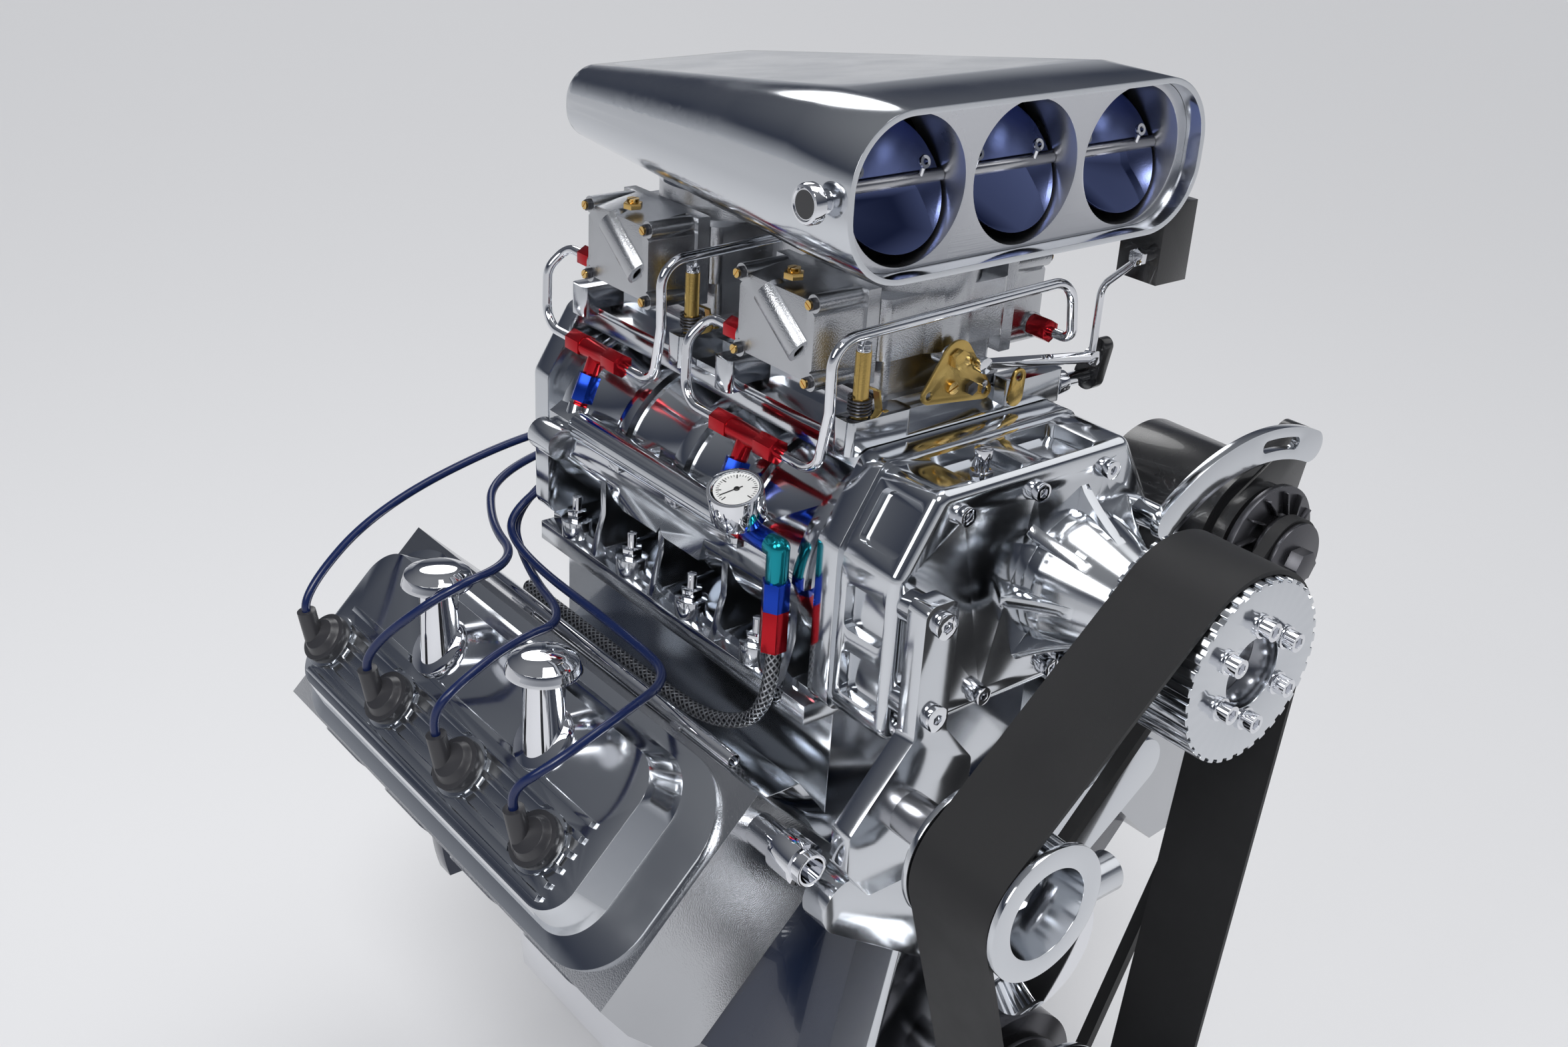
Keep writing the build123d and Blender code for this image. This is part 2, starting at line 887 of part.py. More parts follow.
# Water pump: round body, an arm rising to each head and a hose spigot at the left
pump_arm_x, pump_arm_z = bank_point(left, pump_arm_out, deck_height + pump_arm_above_deck)
spigot_y = timing_front - hose_spigot_root_radius - gasket_gap
spigot_z = pump_center_z - hose_spigot_drop
with BuildPart() as water_pump:
    for side in (right, left):
        arm = ((0, pump_center_z, pump_body_radius), (side * pump_arm_x, pump_arm_z, pump_arm_radius))
        slab(hull_face(timing_front, arm), pump_arm_depth)
    disc(0, pump_center_z, pump_body_radius, pump_front, timing_front)
    bar((0, spigot_y, spigot_z), (hose_spigot_root, spigot_y, spigot_z), hose_spigot_root_radius)
    bar(
        (hose_spigot_root, spigot_y, spigot_z),
        (hose_spigot_root + hose_spigot_length, spigot_y, spigot_z),
        hose_spigot_radius,
    )
    disc(
        0,
        pump_center_z,
        pump_shaft_radius + running_clearance,
        pump_front,
        pump_front + pump_body_depth / 2,
        Mode.SUBTRACT,
    )
save(water_pump, "water_pump")

# Cylinder heads and their covers, boots and breathers
head_profile = [
    (-head_half_width, deck_height),
    (deck_half_width, deck_height),
    (exhaust_face_out, exhaust_low),
    (exhaust_face_out, exhaust_high),
    (cover_flange_half_width + 3, head_top),
    (-head_half_width, head_top),
]
lid_length = head_length - 2 * cover_end_setback - cover_lid_front_gap - cover_lid_rear_gap
cover_length = head_length - 2 * cover_end_setback
for side, hand in ((right, "right"), (left, "left")):
    head_front = bore_y(side, 0) - head_front_margin
    head_rear = head_front + head_length
    with BuildPart() as cylinder_head:
        with BuildSketch(at_y(head_rear)):
            with BuildLine():
                Polyline(*bank_outline(side, head_profile), close=True)
            make_face()
        extrude(amount=head_length)
        for index in range(4):
            port_up = (exhaust_low + exhaust_high) / 2
            face = outboard_plane(side, exhaust_face_out, port_up, bore_y(side, index))
            with BuildSketch(face):
                RectangleRounded(exhaust_pad_length, exhaust_pad_height, exhaust_pad_corner)
            extrude(amount=exhaust_pad_thickness)
            with BuildSketch(face.offset(exhaust_pad_thickness)):
                Circle(exhaust_port_radius)
            extrude(amount=-exhaust_port_depth, mode=Mode.SUBTRACT)
            with BuildSketch(face.offset(exhaust_pad_thickness)):
                with PolarLocations(header_bolt_circle / 2, 2):
                    Circle(header_bolt_radius)
            extrude(amount=-header_bolt_depth, mode=Mode.SUBTRACT)
    save(cylinder_head, f"cylinder_head_{hand}")

    cover_front = head_front + cover_end_setback
    cover_mid_y = cover_front + cover_length / 2
    lid_mid_y = cover_front + cover_lid_front_gap + lid_length / 2
    with BuildPart() as valve_cover:
        with BuildSketch(deck_plane(side, 0, head_top, cover_mid_y)):
            RectangleRounded(cover_length, 2 * cover_flange_half_width, cover_flange_round)
        extrude(amount=cover_flange_thickness)
        with BuildSketch(deck_plane(side, 0, head_top, lid_mid_y)):
            RectangleRounded(lid_length, 2 * cover_lid_half_width, cover_lid_round)
        extrude(amount=cover_height, taper=cover_lid_draft)
        for row in cover_rib_rows:
            with BuildSketch(deck_plane(side, row, cover_top, lid_mid_y)):
                Rectangle(lid_length - 2 * cover_rib_end_gap, cover_rib_width)
            extrude(amount=cover_rib_height)
        for share in breather_after_bore:
            stand_y = bore_y(side, 0) + share * bore_spacing
            with BuildSketch(deck_plane(side, breather_out, cover_top, stand_y)):
                Circle(breather_base_radius + pad_relief)
            extrude(amount=cover_rib_height + 1, mode=Mode.SUBTRACT)
        for index in range(4):
            pad = deck_plane(side, plug_row_out, cover_top, bore_y(side, index))
            with BuildSketch(pad):
                Circle(plug_pad_radius + pad_relief)
            extrude(amount=cover_rib_height + 1, mode=Mode.SUBTRACT)
            with BuildSketch(pad):
                Circle(plug_pad_radius)
            extrude(amount=plug_pad_height)
    save(valve_cover, f"valve_cover_{hand}")

    with BuildPart() as plug_boots:
        for index in range(4):
            seat = deck_plane(side, plug_row_out, seat_up, bore_y(side, index))
            with BuildSketch(seat):
                Circle(boot_disc_radius)
            extrude(amount=boot_disc_height)
            with BuildSketch(seat.offset(boot_disc_height)):
                Circle(boot_disc_radius - boot_dome_inset)
            extrude(amount=boot_dome_height, taper=boot_dome_draft)
            neck_foot, neck_top = boot_neck(side, index)
            bar(neck_foot, neck_top, boot_neck_radius)
        split(bisect_by=deck_plane(side, plug_row_out, seat_up, 0), keep=Keep.TOP)
    save(plug_boots, f"plug_boots_{hand}")

    with BuildPart() as breathers:
        base_x, base_z = bank_point(side, breather_out, cover_top + gasket_gap)
        stem = breather_height
        for share in breather_after_bore:
            stand_y = bore_y(side, 0) + share * bore_spacing
            with BuildSketch(deck_plane(side, breather_out, cover_top + gasket_gap, stand_y)):
                Circle(breather_base_radius)
            extrude(amount=breather_base_thickness, taper=breather_base_draft)
            with BuildSketch(Plane(origin=(base_x, stand_y, base_z), x_dir=(1, 0, 0), z_dir=(0, -1, 0))):
                with BuildLine():
                    Polyline(
                        (0, -breather_root),
                        (breather_waist_radius, -breather_root),
                        (breather_waist_radius, stem - breather_cap_thickness - breather_cap_flare),
                        (breather_cap_radius, stem - breather_cap_thickness),
                        (breather_cap_radius - breather_cap_edge, stem - breather_cap_shoulder),
                        (breather_cap_radius - breather_cap_crown, stem),
                        (0, stem),
                        close=True,
                    )
                make_face()
            revolve(axis=Axis((base_x, stand_y, 0), (0, 0, 1)))
        split(bisect_by=deck_plane(side, 0, cover_top + gasket_gap, 0), keep=Keep.TOP)
    save(breathers, f"breathers_{hand}")

    with BuildPart() as loom_tube:
        tube_up = head_top - loom_below_head_top
        loom_x, loom_z = bank_point(side, loom_out, tube_up)
        loom_front = block_front + loom_front_setback
        loom_rear = loom_front + loom_length
        disc(loom_x, loom_z, loom_radius, loom_front, loom_rear)
        disc(loom_x, loom_z, loom_radius - loom_wall, loom_front, loom_rear, Mode.SUBTRACT)
        saddle_out = loom_out + loom_radius - loom_wall / 2
        saddle = [
            (saddle_out, tube_up - loom_radius / 2),
            (saddle_out, tube_up + loom_radius / 2),
            (-head_half_width, tube_up + loom_radius / 2),
            (-head_half_width, tube_up - loom_radius / 2),
        ]
        for saddle_y in (loom_front + loom_saddle_setback, loom_rear - loom_saddle_setback):
            with BuildSketch(at_y(saddle_y + loom_radius)):
                with BuildLine():
                    Polyline(*bank_outline(side, saddle), close=True)
                make_face()
            extrude(amount=2 * loom_radius)
    save(loom_tube, f"loom_tube_{hand}")

# Water outlet on the right head: a spigot with a wide collar
outlet_x, outlet_z = bank_point(right, outlet_out, head_top - outlet_below_head_top)
outlet_rear = bore_y(right, 0) - head_front_margin
outlet_front = outlet_rear - outlet_length
collar_rear = outlet_rear - outlet_collar_start
with BuildPart() as water_outlet:
    disc(outlet_x, outlet_z, outlet_radius, outlet_front, outlet_rear)
    disc(outlet_x, outlet_z, outlet_collar_radius, collar_rear - outlet_collar_width, collar_rear)
    disc(outlet_x, outlet_z, outlet_bore_radius, outlet_front, collar_rear, Mode.SUBTRACT)
save(water_outlet, "water_outlet")

# Blower manifold: feet on the heads, a plain-sided box and a top plate
manifold_floor_z = valley_floor_height + manifold_floor_above_valley
foot_low = bank_point(left, -head_half_width, deck_height + gasket_gap)
foot_high = bank_point(left, -head_half_width, deck_height + manifold_foot_height)
half_manifold = [
    (0, manifold_floor_z),
    (manifold_box_half_width - loom_radius, manifold_floor_z),
    foot_low,
    foot_high,
    (foot_high[0] - manifold_foot_step, foot_high[1]),
    (manifold_box_half_width, foot_high[1] - manifold_foot_drop),
    (manifold_box_half_width, blower_base_z - manifold_top_plate),
    (manifold_top_half_width, blower_base_z - manifold_top_plate),
    (manifold_top_half_width, blower_base_z),
    (0, blower_base_z),
]
with BuildPart() as blower_manifold:
    with BuildSketch(at_y(case_rear + manifold_overhang)):
        with BuildLine():
            Polyline(*half_manifold, close=True)
        make_face()
        mirror(about=Plane.YZ)
    extrude(amount=case_length + 2 * manifold_overhang)
save(blower_manifold, "blower_manifold")

# Blower case: two rotor lobes, wrap-round ribs above, and below them a
# scalloped flange, deep pockets between upright fins, and a plain raised panel
fin_top_z = rotor_z + fin_top_above_rotor
rib_pitch = (case_length - case_rib_front_gap - case_rib_rear_gap) / (case_rib_count - 1)
rib_places = [case_rear - case_rib_rear_gap - index * rib_pitch for index in range(case_rib_count)]
stud_pitch = (case_length - case_stud_front_gap - case_stud_rear_gap) / (case_stud_count - 1)
stud_places = [case_rear - case_stud_rear_gap - index * stud_pitch for index in range(case_stud_count)]
with BuildPart() as blower_case:
    with BuildSketch(at_y(case_rear)):
        with Locations((-rotor_offset, rotor_z), (rotor_offset, rotor_z)):
            Circle(lobe_radius)
        with Locations((0, (blower_base_z + case_top_z) / 2)):
            Rectangle(2 * case_core_half_width, case_top_z - blower_base_z)
        with Locations((0, blower_base_z + case_flange_thickness / 2)):
            Rectangle(2 * case_flange_half_width, case_flange_thickness)
        with Locations((0, case_top_z - case_deck_thickness / 2)):
            Rectangle(2 * case_deck_half_width, case_deck_thickness)
    extrude(amount=case_length)
    for rib_y in rib_places:
        with BuildSketch(at_y(rib_y + case_rib_thickness / 2)):
            with Locations((-rotor_offset, rotor_z), (rotor_offset, rotor_z)):
                Circle(lobe_radius + case_rib_proud)
            with Locations((0, blower_base_z)):
                Rectangle(4 * lobe_radius, 2 * (rotor_z - blower_base_z), mode=Mode.SUBTRACT)
            with Locations((0, case_top_z + lobe_radius)):
                Rectangle(2 * case_deck_half_width, 2 * lobe_radius, mode=Mode.SUBTRACT)
        extrude(amount=case_rib_thickness)
    for stud_y in stud_places:
        with BuildSketch(at_y(stud_y - stud_pitch / 2 + case_fin_thickness / 2)):
            for side in (right, left):
                with BuildLine():
                    Polyline(
                        (side * case_core_half_width, blower_base_z),
                        (side * case_fin_foot_half_width, blower_base_z),
                        (side * case_fin_half_width, blower_base_z + case_fin_foot_height),
                        (side * case_fin_half_width, fin_top_z - case_fin_chamfer),
                        (side * (case_fin_half_width - case_fin_chamfer), fin_top_z),
                        (side * case_core_half_width, fin_top_z),
                        close=True,
                    )
                make_face()
        extrude(amount=case_fin_thickness)
    for side in (right, left):
        with BuildSketch(Plane.XY.offset(blower_base_z)):
            with Locations(*[(side * case_stud_x, stud_y) for stud_y in stud_places]):
                Circle(case_stud_boss_radius)
        extrude(amount=case_stud_boss_height)
        panel_middle = (stud_places[1] + stud_places[2]) / 2
        panel_high_z = blower_base_z + panel_high
        panel_low_z = blower_base_z + panel_low
        with BuildSketch(Plane.YZ.offset(side * (case_fin_half_width + panel_proud))):
            with BuildLine():
                Polyline(
                    (panel_middle - panel_top_half, panel_high_z),
                    (panel_middle + panel_top_half, panel_high_z),
                    (panel_middle + panel_low_half, panel_low_z),
                    (panel_middle + panel_notch_half, panel_low_z),
                    (panel_middle, panel_low_z + panel_notch_height),
                    (panel_middle - panel_notch_half, panel_low_z),
                    (panel_middle - panel_low_half, panel_low_z),
                    close=True,
                )
            make_face()
        extrude(amount=-side * panel_depth)
save(blower_case, "blower_case")

# Bearing plate, gear cover and rear cover share one outline
def end_plate_sketch(y, shrink):
    """The outline of the blower's end plates, smaller all round by shrink."""
    low_z = blower_base_z + end_plate_base_gap + shrink
    high_z = case_top_z + end_plate_top_rise - shrink
    half_width = end_plate_half_width - shrink
    with BuildSketch(at_y(y)) as outline:
        with BuildLine():
            Polyline(
                (-half_width, low_z),
                (half_width, low_z),
                (half_width, end_plate_shoulder_z - shrink / 2),
                (end_plate_top_half_width - shrink / 2, high_z),
                (-end_plate_top_half_width + shrink / 2, high_z),
                (-half_width, end_plate_shoulder_z - shrink / 2),
                close=True,
            )
        make_face()
        fillet(outline.vertices(), radius=end_plate_corner)
    return outline.sketch


with BuildPart() as bearing_plate:
    slab(end_plate_sketch(case_front, 0), bearing_plate_thickness)
save(bearing_plate, "bearing_plate")

cover_bolt_side_x = end_plate_half_width - cover_bolt_side_inset
bolt_middle, bolt_low = [blower_base_z + height for height in cover_bolt_heights]
cover_bolt_top_z = case_top_z - cover_bolt_below_top
cover_bolt_places = [
    (-cover_bolt_pitch, cover_bolt_top_z),
    (0, cover_bolt_top_z),
    (cover_bolt_pitch, cover_bolt_top_z),
    (cover_bolt_side_x, bolt_middle),
    (-cover_bolt_side_x, bolt_low),
    (cover_bolt_side_x, bolt_low),
    (-cover_bolt_low_x, bolt_low),
    (cover_bolt_low_x, bolt_low),
]
cover_top_face_z = case_top_z + end_plate_top_rise - cover_step_in
pocket_floor_z = cover_top_face_z - pocket_depth
with BuildPart() as gear_cover:
    slab(end_plate_sketch(bearing_front, cover_step_in), gear_cover_depth)
    fillet(faces().sort_by(Axis.Y)[0].outer_wire().edges(), radius=gear_cover_edge)
    pocket_y = bearing_front - pocket_setback
    with BuildSketch(Plane.XY.offset(cover_top_face_z)):
        for pocket_x in (-cover_bolt_pitch / 2, cover_bolt_pitch / 2):
            with Locations((pocket_x, pocket_y)):
                RectangleRounded(cover_bolt_pitch - pocket_wall, pocket_length, pocket_corner)
    extrude(amount=-pocket_depth, mode=Mode.SUBTRACT)
    shoulder_run = end_plate_half_width - end_plate_top_half_width
    shoulder_rise = case_top_z + end_plate_top_rise - end_plate_shoulder_z
    for side in (right, left):
        shoulder = Plane(
            origin=(
                side * ((end_plate_half_width + end_plate_top_half_width) / 2 - cover_step_in),
                bearing_front - gear_cover_depth / 2,
                (end_plate_shoulder_z + case_top_z) / 2,
            ),
            x_dir=(0, -side, 0),
            z_dir=(side * shoulder_rise, 0, shoulder_run),
        )
        with BuildSketch(shoulder.offset(end_plate_top_rise)):
            RectangleRounded(shoulder_pocket_length, shoulder_pocket_width, pocket_corner)
        extrude(amount=-pocket_depth, mode=Mode.SUBTRACT)
        with BuildSketch(Plane.YZ.offset(side * end_plate_half_width)):
            for height in side_pocket_heights:
                with Locations((bearing_front - gear_cover_depth / 2, blower_base_z + height)):
                    RectangleRounded(shoulder_pocket_length, side_pocket_height, pocket_corner)
        extrude(amount=-side * pocket_depth, mode=Mode.SUBTRACT)
    for bolt_x, bolt_z in cover_bolt_places:
        disc(
            bolt_x,
            bolt_z,
            cover_bolt_radius,
            gear_cover_front,
            gear_cover_front + cover_bolt_depth,
            Mode.SUBTRACT,
        )
save(gear_cover, "gear_cover")

with BuildPart() as rear_cover:
    slab(end_plate_sketch(case_rear + rear_cover_depth, cover_step_in), rear_cover_depth)
    fillet(faces().sort_by(Axis.Y)[-1].outer_wire().edges(), radius=rear_cover_edge)
save(rear_cover, "blower_rear_cover")

# Bolts of the gear cover and idler bracket, the case's studs and nuts, and the
# small vent fitting on the gear cover
bracket_bolt_places = [
    (bracket_bolt_x, blower_base_z + bracket_bolt_high),
    (bracket_bolt_x, blower_base_z + bracket_bolt_low),
]
with BuildPart() as blower_fasteners:
    for bolt_x, bolt_z in cover_bolt_places:
        shank_rear = gear_cover_front + cover_bolt_depth - cover_bolt_clearance
        head_front_y = gear_cover_front - socket_head_height
        disc(bolt_x, bolt_z, cover_bolt_radius - cover_bolt_clearance, gear_cover_front, shank_rear)
        disc(bolt_x, bolt_z, socket_head_radius, head_front_y, gear_cover_front)
        bar(
            (bolt_x, head_front_y + socket_depth, bolt_z),
            (bolt_x, head_front_y, bolt_z),
            socket_hex_radius,
            sides=6,
            mode=Mode.SUBTRACT,
        )
    for bolt_x, bolt_z in bracket_bolt_places:
        head_front_y = bracket_front - socket_head_height
        disc(bolt_x, bolt_z, bracket_bolt_head_radius, head_front_y, bracket_front)
        bar(
            (bolt_x, head_front_y + socket_depth, bolt_z),
            (bolt_x, head_front_y, bolt_z),
            pulley_bolt_hex_radius,
            sides=6,
            mode=Mode.SUBTRACT,
        )
    nut_base_z = blower_base_z + case_stud_boss_height
    for side in (right, left):
        for stud_y in stud_places:
            foot = (side * case_stud_x, stud_y, nut_base_z)
            bar(foot, (foot[0], foot[1], nut_base_z + nut_height), nut_radius, sides=6)
            bar(foot, (foot[0], foot[1], nut_base_z + stud_height), stud_radius)
    vent_y = gear_cover_front + vent_behind_front
    vent_foot = (vent_x, vent_y, pocket_floor_z)
    bar(vent_foot, (vent_x, vent_y, pocket_floor_z + vent_hex_height), vent_hex_radius, sides=6)
    bar(vent_foot, (vent_x, vent_y, pocket_floor_z + vent_height), vent_neck_radius)
    vent_cap_z = pocket_floor_z + vent_height - vent_cap_radius
    bar((vent_x, vent_y, vent_cap_z), (vent_x, vent_y, pocket_floor_z + vent_height), vent_cap_radius)
save(blower_fasteners, "blower_fasteners")

# Drive snout on the gear cover, with curved gussets
snout_profile = [
    (0, 0),
    (snout_root_radius, 0),
    (snout_root_radius, snout_root_lip),
    (snout_neck_radius, snout_root_length),
    (snout_neck_radius, gear_cover_front - snout_nose_y),
    (0, gear_cover_front - snout_nose_y),
]
snout_plane = Plane(origin=(rotor_offset, gear_cover_front, rotor_z), x_dir=(1, 0, 0), z_dir=(0, 0, 1))
fin_foot = snout_neck_radius - snout_fin_thickness / 2
fin_belly = ((snout_fin_reach + snout_neck_radius) / 2, snout_fin_length * snout_fin_belly)
with BuildPart() as drive_snout:
    with BuildSketch(snout_plane):
        with BuildLine():
            Polyline(*[(x, -y) for x, y in snout_profile], close=True)
        make_face()
    revolve(axis=Axis((rotor_offset, gear_cover_front, rotor_z), (0, -1, 0)))
    for index in range(snout_fin_count):
        angle = radians(360 / snout_fin_count * index)
        fin_plane = Plane(
            origin=(rotor_offset, gear_cover_front, rotor_z),
            x_dir=(cos(angle), 0, sin(angle)),
            z_dir=(sin(angle), 0, -cos(angle)),
        )
        with BuildSketch(fin_plane):
            with BuildLine():
                ThreePointArc((snout_fin_reach, 0), fin_belly, (fin_foot, snout_fin_length))
                Polyline((fin_foot, snout_fin_length), (0, snout_fin_length), (0, 0), (snout_fin_reach, 0))
            make_face()
        extrude(amount=snout_fin_thickness / 2, both=True)
    disc(
        rotor_offset,
        rotor_z,
        drive_shaft_radius + running_clearance,
        snout_nose_y,
        snout_nose_y + drive_shaft_seat,
        Mode.SUBTRACT,
    )
save(drive_snout, "drive_snout")


def toothed_ring(teeth, radius, x, z, front, rear):
    """Sketch and extrude a toothed rim into the open part, gaps cut by a polar pattern."""
    gap = tooth_pitch * tooth_gap_share
    with BuildSketch(at_y(rear)) as rim:
        with Locations((x, z)):
            Circle(radius)
            with PolarLocations(radius, teeth):
                Rectangle(2 * tooth_depth, gap, mode=Mode.SUBTRACT)
    slab(rim.sketch, rear - front)


def grooved_rim(x, z, radius):
    """A one-groove pulley rim in the open part, in line with the drive belt."""
    disc(x, z, radius, groove_front, groove_rear)
    half_slot = drive_belt_width / 2 + groove_slack
    with BuildSketch(at_y(groove_mid + half_slot)) as slot:
        with Locations((x, z)):
            Circle(radius + 1)
            Circle(radius - groove_depth, mode=Mode.SUBTRACT)
    slab(slot.sketch, 2 * half_slot, Mode.SUBTRACT)


# Upper pulley, its drive flange and shaft, and the bolts between them
with BuildPart() as upper_pulley:
    toothed_ring(upper_teeth, upper_radius, rotor_offset, rotor_z, pulley_front, pulley_rear)
    disc(rotor_offset, rotor_z, upper_radius - upper_rim_wall, web_rear, pulley_rear, Mode.SUBTRACT)
    disc(rotor_offset, rotor_z, upper_bore_radius, pulley_front, web_rear, Mode.SUBTRACT)
save(upper_pulley, "upper_pulley")

with BuildPart() as drive_flange:
    disc(rotor_offset, rotor_z, pulley_bolt_circle + drive_flange_overhang, web_rear, drive_flange_rear)
    shaft_front = snout_nose_y + drive_shaft_seat - shaft_end_gap
    disc(rotor_offset, rotor_z, drive_shaft_radius, drive_flange_rear, shaft_front)
save(drive_flange, "drive_flange")

with BuildPart() as pulley_bolts:
    washer_front = pulley_front - washer_thickness
    for radius, front, rear in (
        (washer_radius, washer_front, pulley_front),
        (pulley_bolt_head_radius, washer_front - pulley_bolt_head_height, washer_front),
    ):
        with BuildSketch(at_y(rear)):
            with Locations((rotor_offset, rotor_z)):
                with PolarLocations(pulley_bolt_circle, pulley_bolt_count, start_angle=pulley_bolt_turn):
                    Circle(radius)
        extrude(amount=rear - front)
    with BuildSketch(at_y(washer_front - pulley_bolt_head_height)):
        with Locations((rotor_offset, rotor_z)):
            with PolarLocations(pulley_bolt_circle, pulley_bolt_count, start_angle=pulley_bolt_turn):
                RegularPolygon(pulley_bolt_hex_radius, 6)
    extrude(amount=-pulley_bolt_hex_depth, mode=Mode.SUBTRACT)
save(pulley_bolts, "pulley_bolts")

# Idler: a flanged toothed cup on a stud, and the stud on its bracket
idler_rear = pulley_rear
idler_front = pulley_front
cup_rear = idler_front + idler_cup_depth
with BuildPart() as idler_pulley:
    toothed_ring(idler_teeth, idler_radius, idler_x, idler_z, idler_front, idler_rear)
    disc(idler_x, idler_z, idler_flange_radius, idler_front, idler_front + flange_thickness)
    disc(idler_x, idler_z, idler_flange_radius, idler_rear - flange_thickness, idler_rear)
    disc(idler_x, idler_z, idler_radius - idler_rim_wall, idler_front, cup_rear, Mode.SUBTRACT)
    disc(idler_x, idler_z, idler_stud_radius + running_clearance, cup_rear, idler_rear, Mode.SUBTRACT)
save(idler_pulley, "idler_pulley")

with BuildPart() as idler_stud:
    disc(idler_x, idler_z, idler_spacer_radius, idler_rear + idler_hub_gap, bracket_front)
    disc(idler_x, idler_z, idler_stud_radius, cup_rear - idler_hub_gap, idler_rear + idler_hub_gap)
    with BuildSketch(at_y(cup_rear - idler_hub_gap)):
        with Locations((idler_x, idler_z)):
            RegularPolygon(idler_nut_radius, 6)
    extrude(amount=idler_nut_height)
save(idler_stud, "idler_stud")

neck_high_z = blower_base_z + bracket_bolt_high + bracket_neck_half_width
neck_low_z = blower_base_z + bracket_bolt_low - bracket_neck_half_width
bracket_outline = [
    (bracket_bolt_x - bracket_neck_half_width, neck_high_z),
    (bracket_bolt_x + bracket_neck_half_width, neck_high_z),
    (bracket_bolt_x + bracket_neck_half_width, neck_low_z),
]
for corner_x, corner_z in bracket_paddle_corners:
    corner_place = (idler_x + corner_x * bracket_paddle_radius, idler_z + corner_z * bracket_paddle_radius)
    bracket_outline.append(corner_place)
bracket_outline.append((bracket_bolt_x - bracket_neck_half_width, neck_low_z))
with BuildPart() as idler_bracket:
    with BuildSketch(at_y(bracket_rear)) as plate:
        with BuildLine():
            Polyline(*bracket_outline, close=True)
        make_face()
        fillet(plate.vertices(), radius=bracket_corner)
    extrude(amount=bracket_thickness)
    for bolt_x, bolt_z in bracket_bolt_places:
        disc(bolt_x, bolt_z, bracket_foot_radius, bracket_rear, gear_cover_front)
save(idler_bracket, "idler_bracket")

# Crank: rear flange, nose, damper, grooved pulley and lower toothed pulley
flange_rear = -crank_flange_recess
flange_front = flange_rear - crank_flange_thickness
with BuildPart() as crank_flange:
    disc(0, 0, crank_flange_radius, flange_front, flange_rear)
    disc(0, 0, main_bore_radius, shaft_end_gap - crank_flange_well - rear_journal_length, flange_front)
    with BuildSketch(at_y(flange_rear)):
        with PolarLocations(crank_bolt_circle / 2, crank_bolt_count):
            Circle(crank_bolt_radius)
    extrude(amount=crank_flange_thickness - crank_bolt_floor, mode=Mode.SUBTRACT)
    disc(0, 0, pilot_radius, flange_rear - pilot_depth, flange_rear, Mode.SUBTRACT)
save(crank_flange, "crank_flange")

with BuildPart() as crank_nose:
    disc(0, 0, nose_radius, damper_rear, block_front + nose_bearing_depth - shaft_end_gap)
save(crank_nose, "crank_nose")

with BuildPart() as damper:
    disc(0, 0, damper_radius, damper_front, damper_rear)
    grooved_rim(0, 0, crank_groove_radius)
    disc(0, 0, nose_hub_radius, groove_rear, damper_front)
save(damper, "damper")

lower_web_rear = pulley_front + lower_cup_depth + lower_web_thickness
lower_rim_inner_radius = lower_radius - lower_rim_wall
with BuildPart() as lower_pulley:
    toothed_ring(lower_teeth, lower_radius, 0, 0, pulley_front, pulley_rear)
    disc(0, 0, lower_flange_radius, pulley_front, pulley_front + flange_thickness)
    disc(0, 0, lower_flange_radius, pulley_rear - flange_thickness, pulley_rear)
    disc(0, 0, lower_rim_inner_radius, pulley_front, lower_web_rear - lower_web_thickness, Mode.SUBTRACT)
    disc(0, 0, lower_rim_inner_radius, lower_web_rear, pulley_rear, Mode.SUBTRACT)
    disc(0, 0, lower_bore_radius, pulley_front, lower_web_rear, Mode.SUBTRACT)
    disc(0, 0, lower_hub_radius, lower_web_rear, groove_front)
save(lower_pulley, "lower_pulley")

# Toothed belt over the three pulleys, smooth inside where it wraps them
belt_circles = (
    (rotor_offset, rotor_z, upper_radius),
    (idler_x, idler_z, idler_radius),
    (0, 0, lower_radius),
)


with BuildPart() as blower_belt:
    slab(hull_face(belt_rear, belt_circles, belt_clearance + belt_thickness), belt_width)
    slab(hull_face(belt_rear, belt_circles, belt_clearance), belt_width, Mode.SUBTRACT)
save(blower_belt, "blower_belt")

# Grooved belt from the crank round the pump to the alternator
groove_circles = (
    (alternator_x, alternator_z, alternator_groove_radius),
    (0, pump_center_z, pump_pulley_radius),
    (0, 0, crank_groove_radius),
)
drive_belt_rear = groove_mid + drive_belt_width / 2
with BuildPart() as drive_belt:
    slab(hull_face(drive_belt_rear, groove_circles, drive_belt_proud), drive_belt_width)
    slab(
        hull_face(drive_belt_rear, groove_circles, drive_belt_proud - drive_belt_thickness),
        drive_belt_width,
        Mode.SUBTRACT,
    )
save(drive_belt, "drive_belt")


# Water pump pulley
with BuildPart() as pump_pulley:
    grooved_rim(0, pump_center_z, pump_pulley_radius)
    disc(0, pump_center_z, pump_hub_radius, groove_rear, pump_front - shaft_end_gap)
    pump_shaft_rear = pump_front + pump_body_depth / 2 - shaft_end_gap
    disc(0, pump_center_z, pump_shaft_radius, pump_front - shaft_end_gap, pump_shaft_rear)
save(pump_pulley, "pump_pulley")

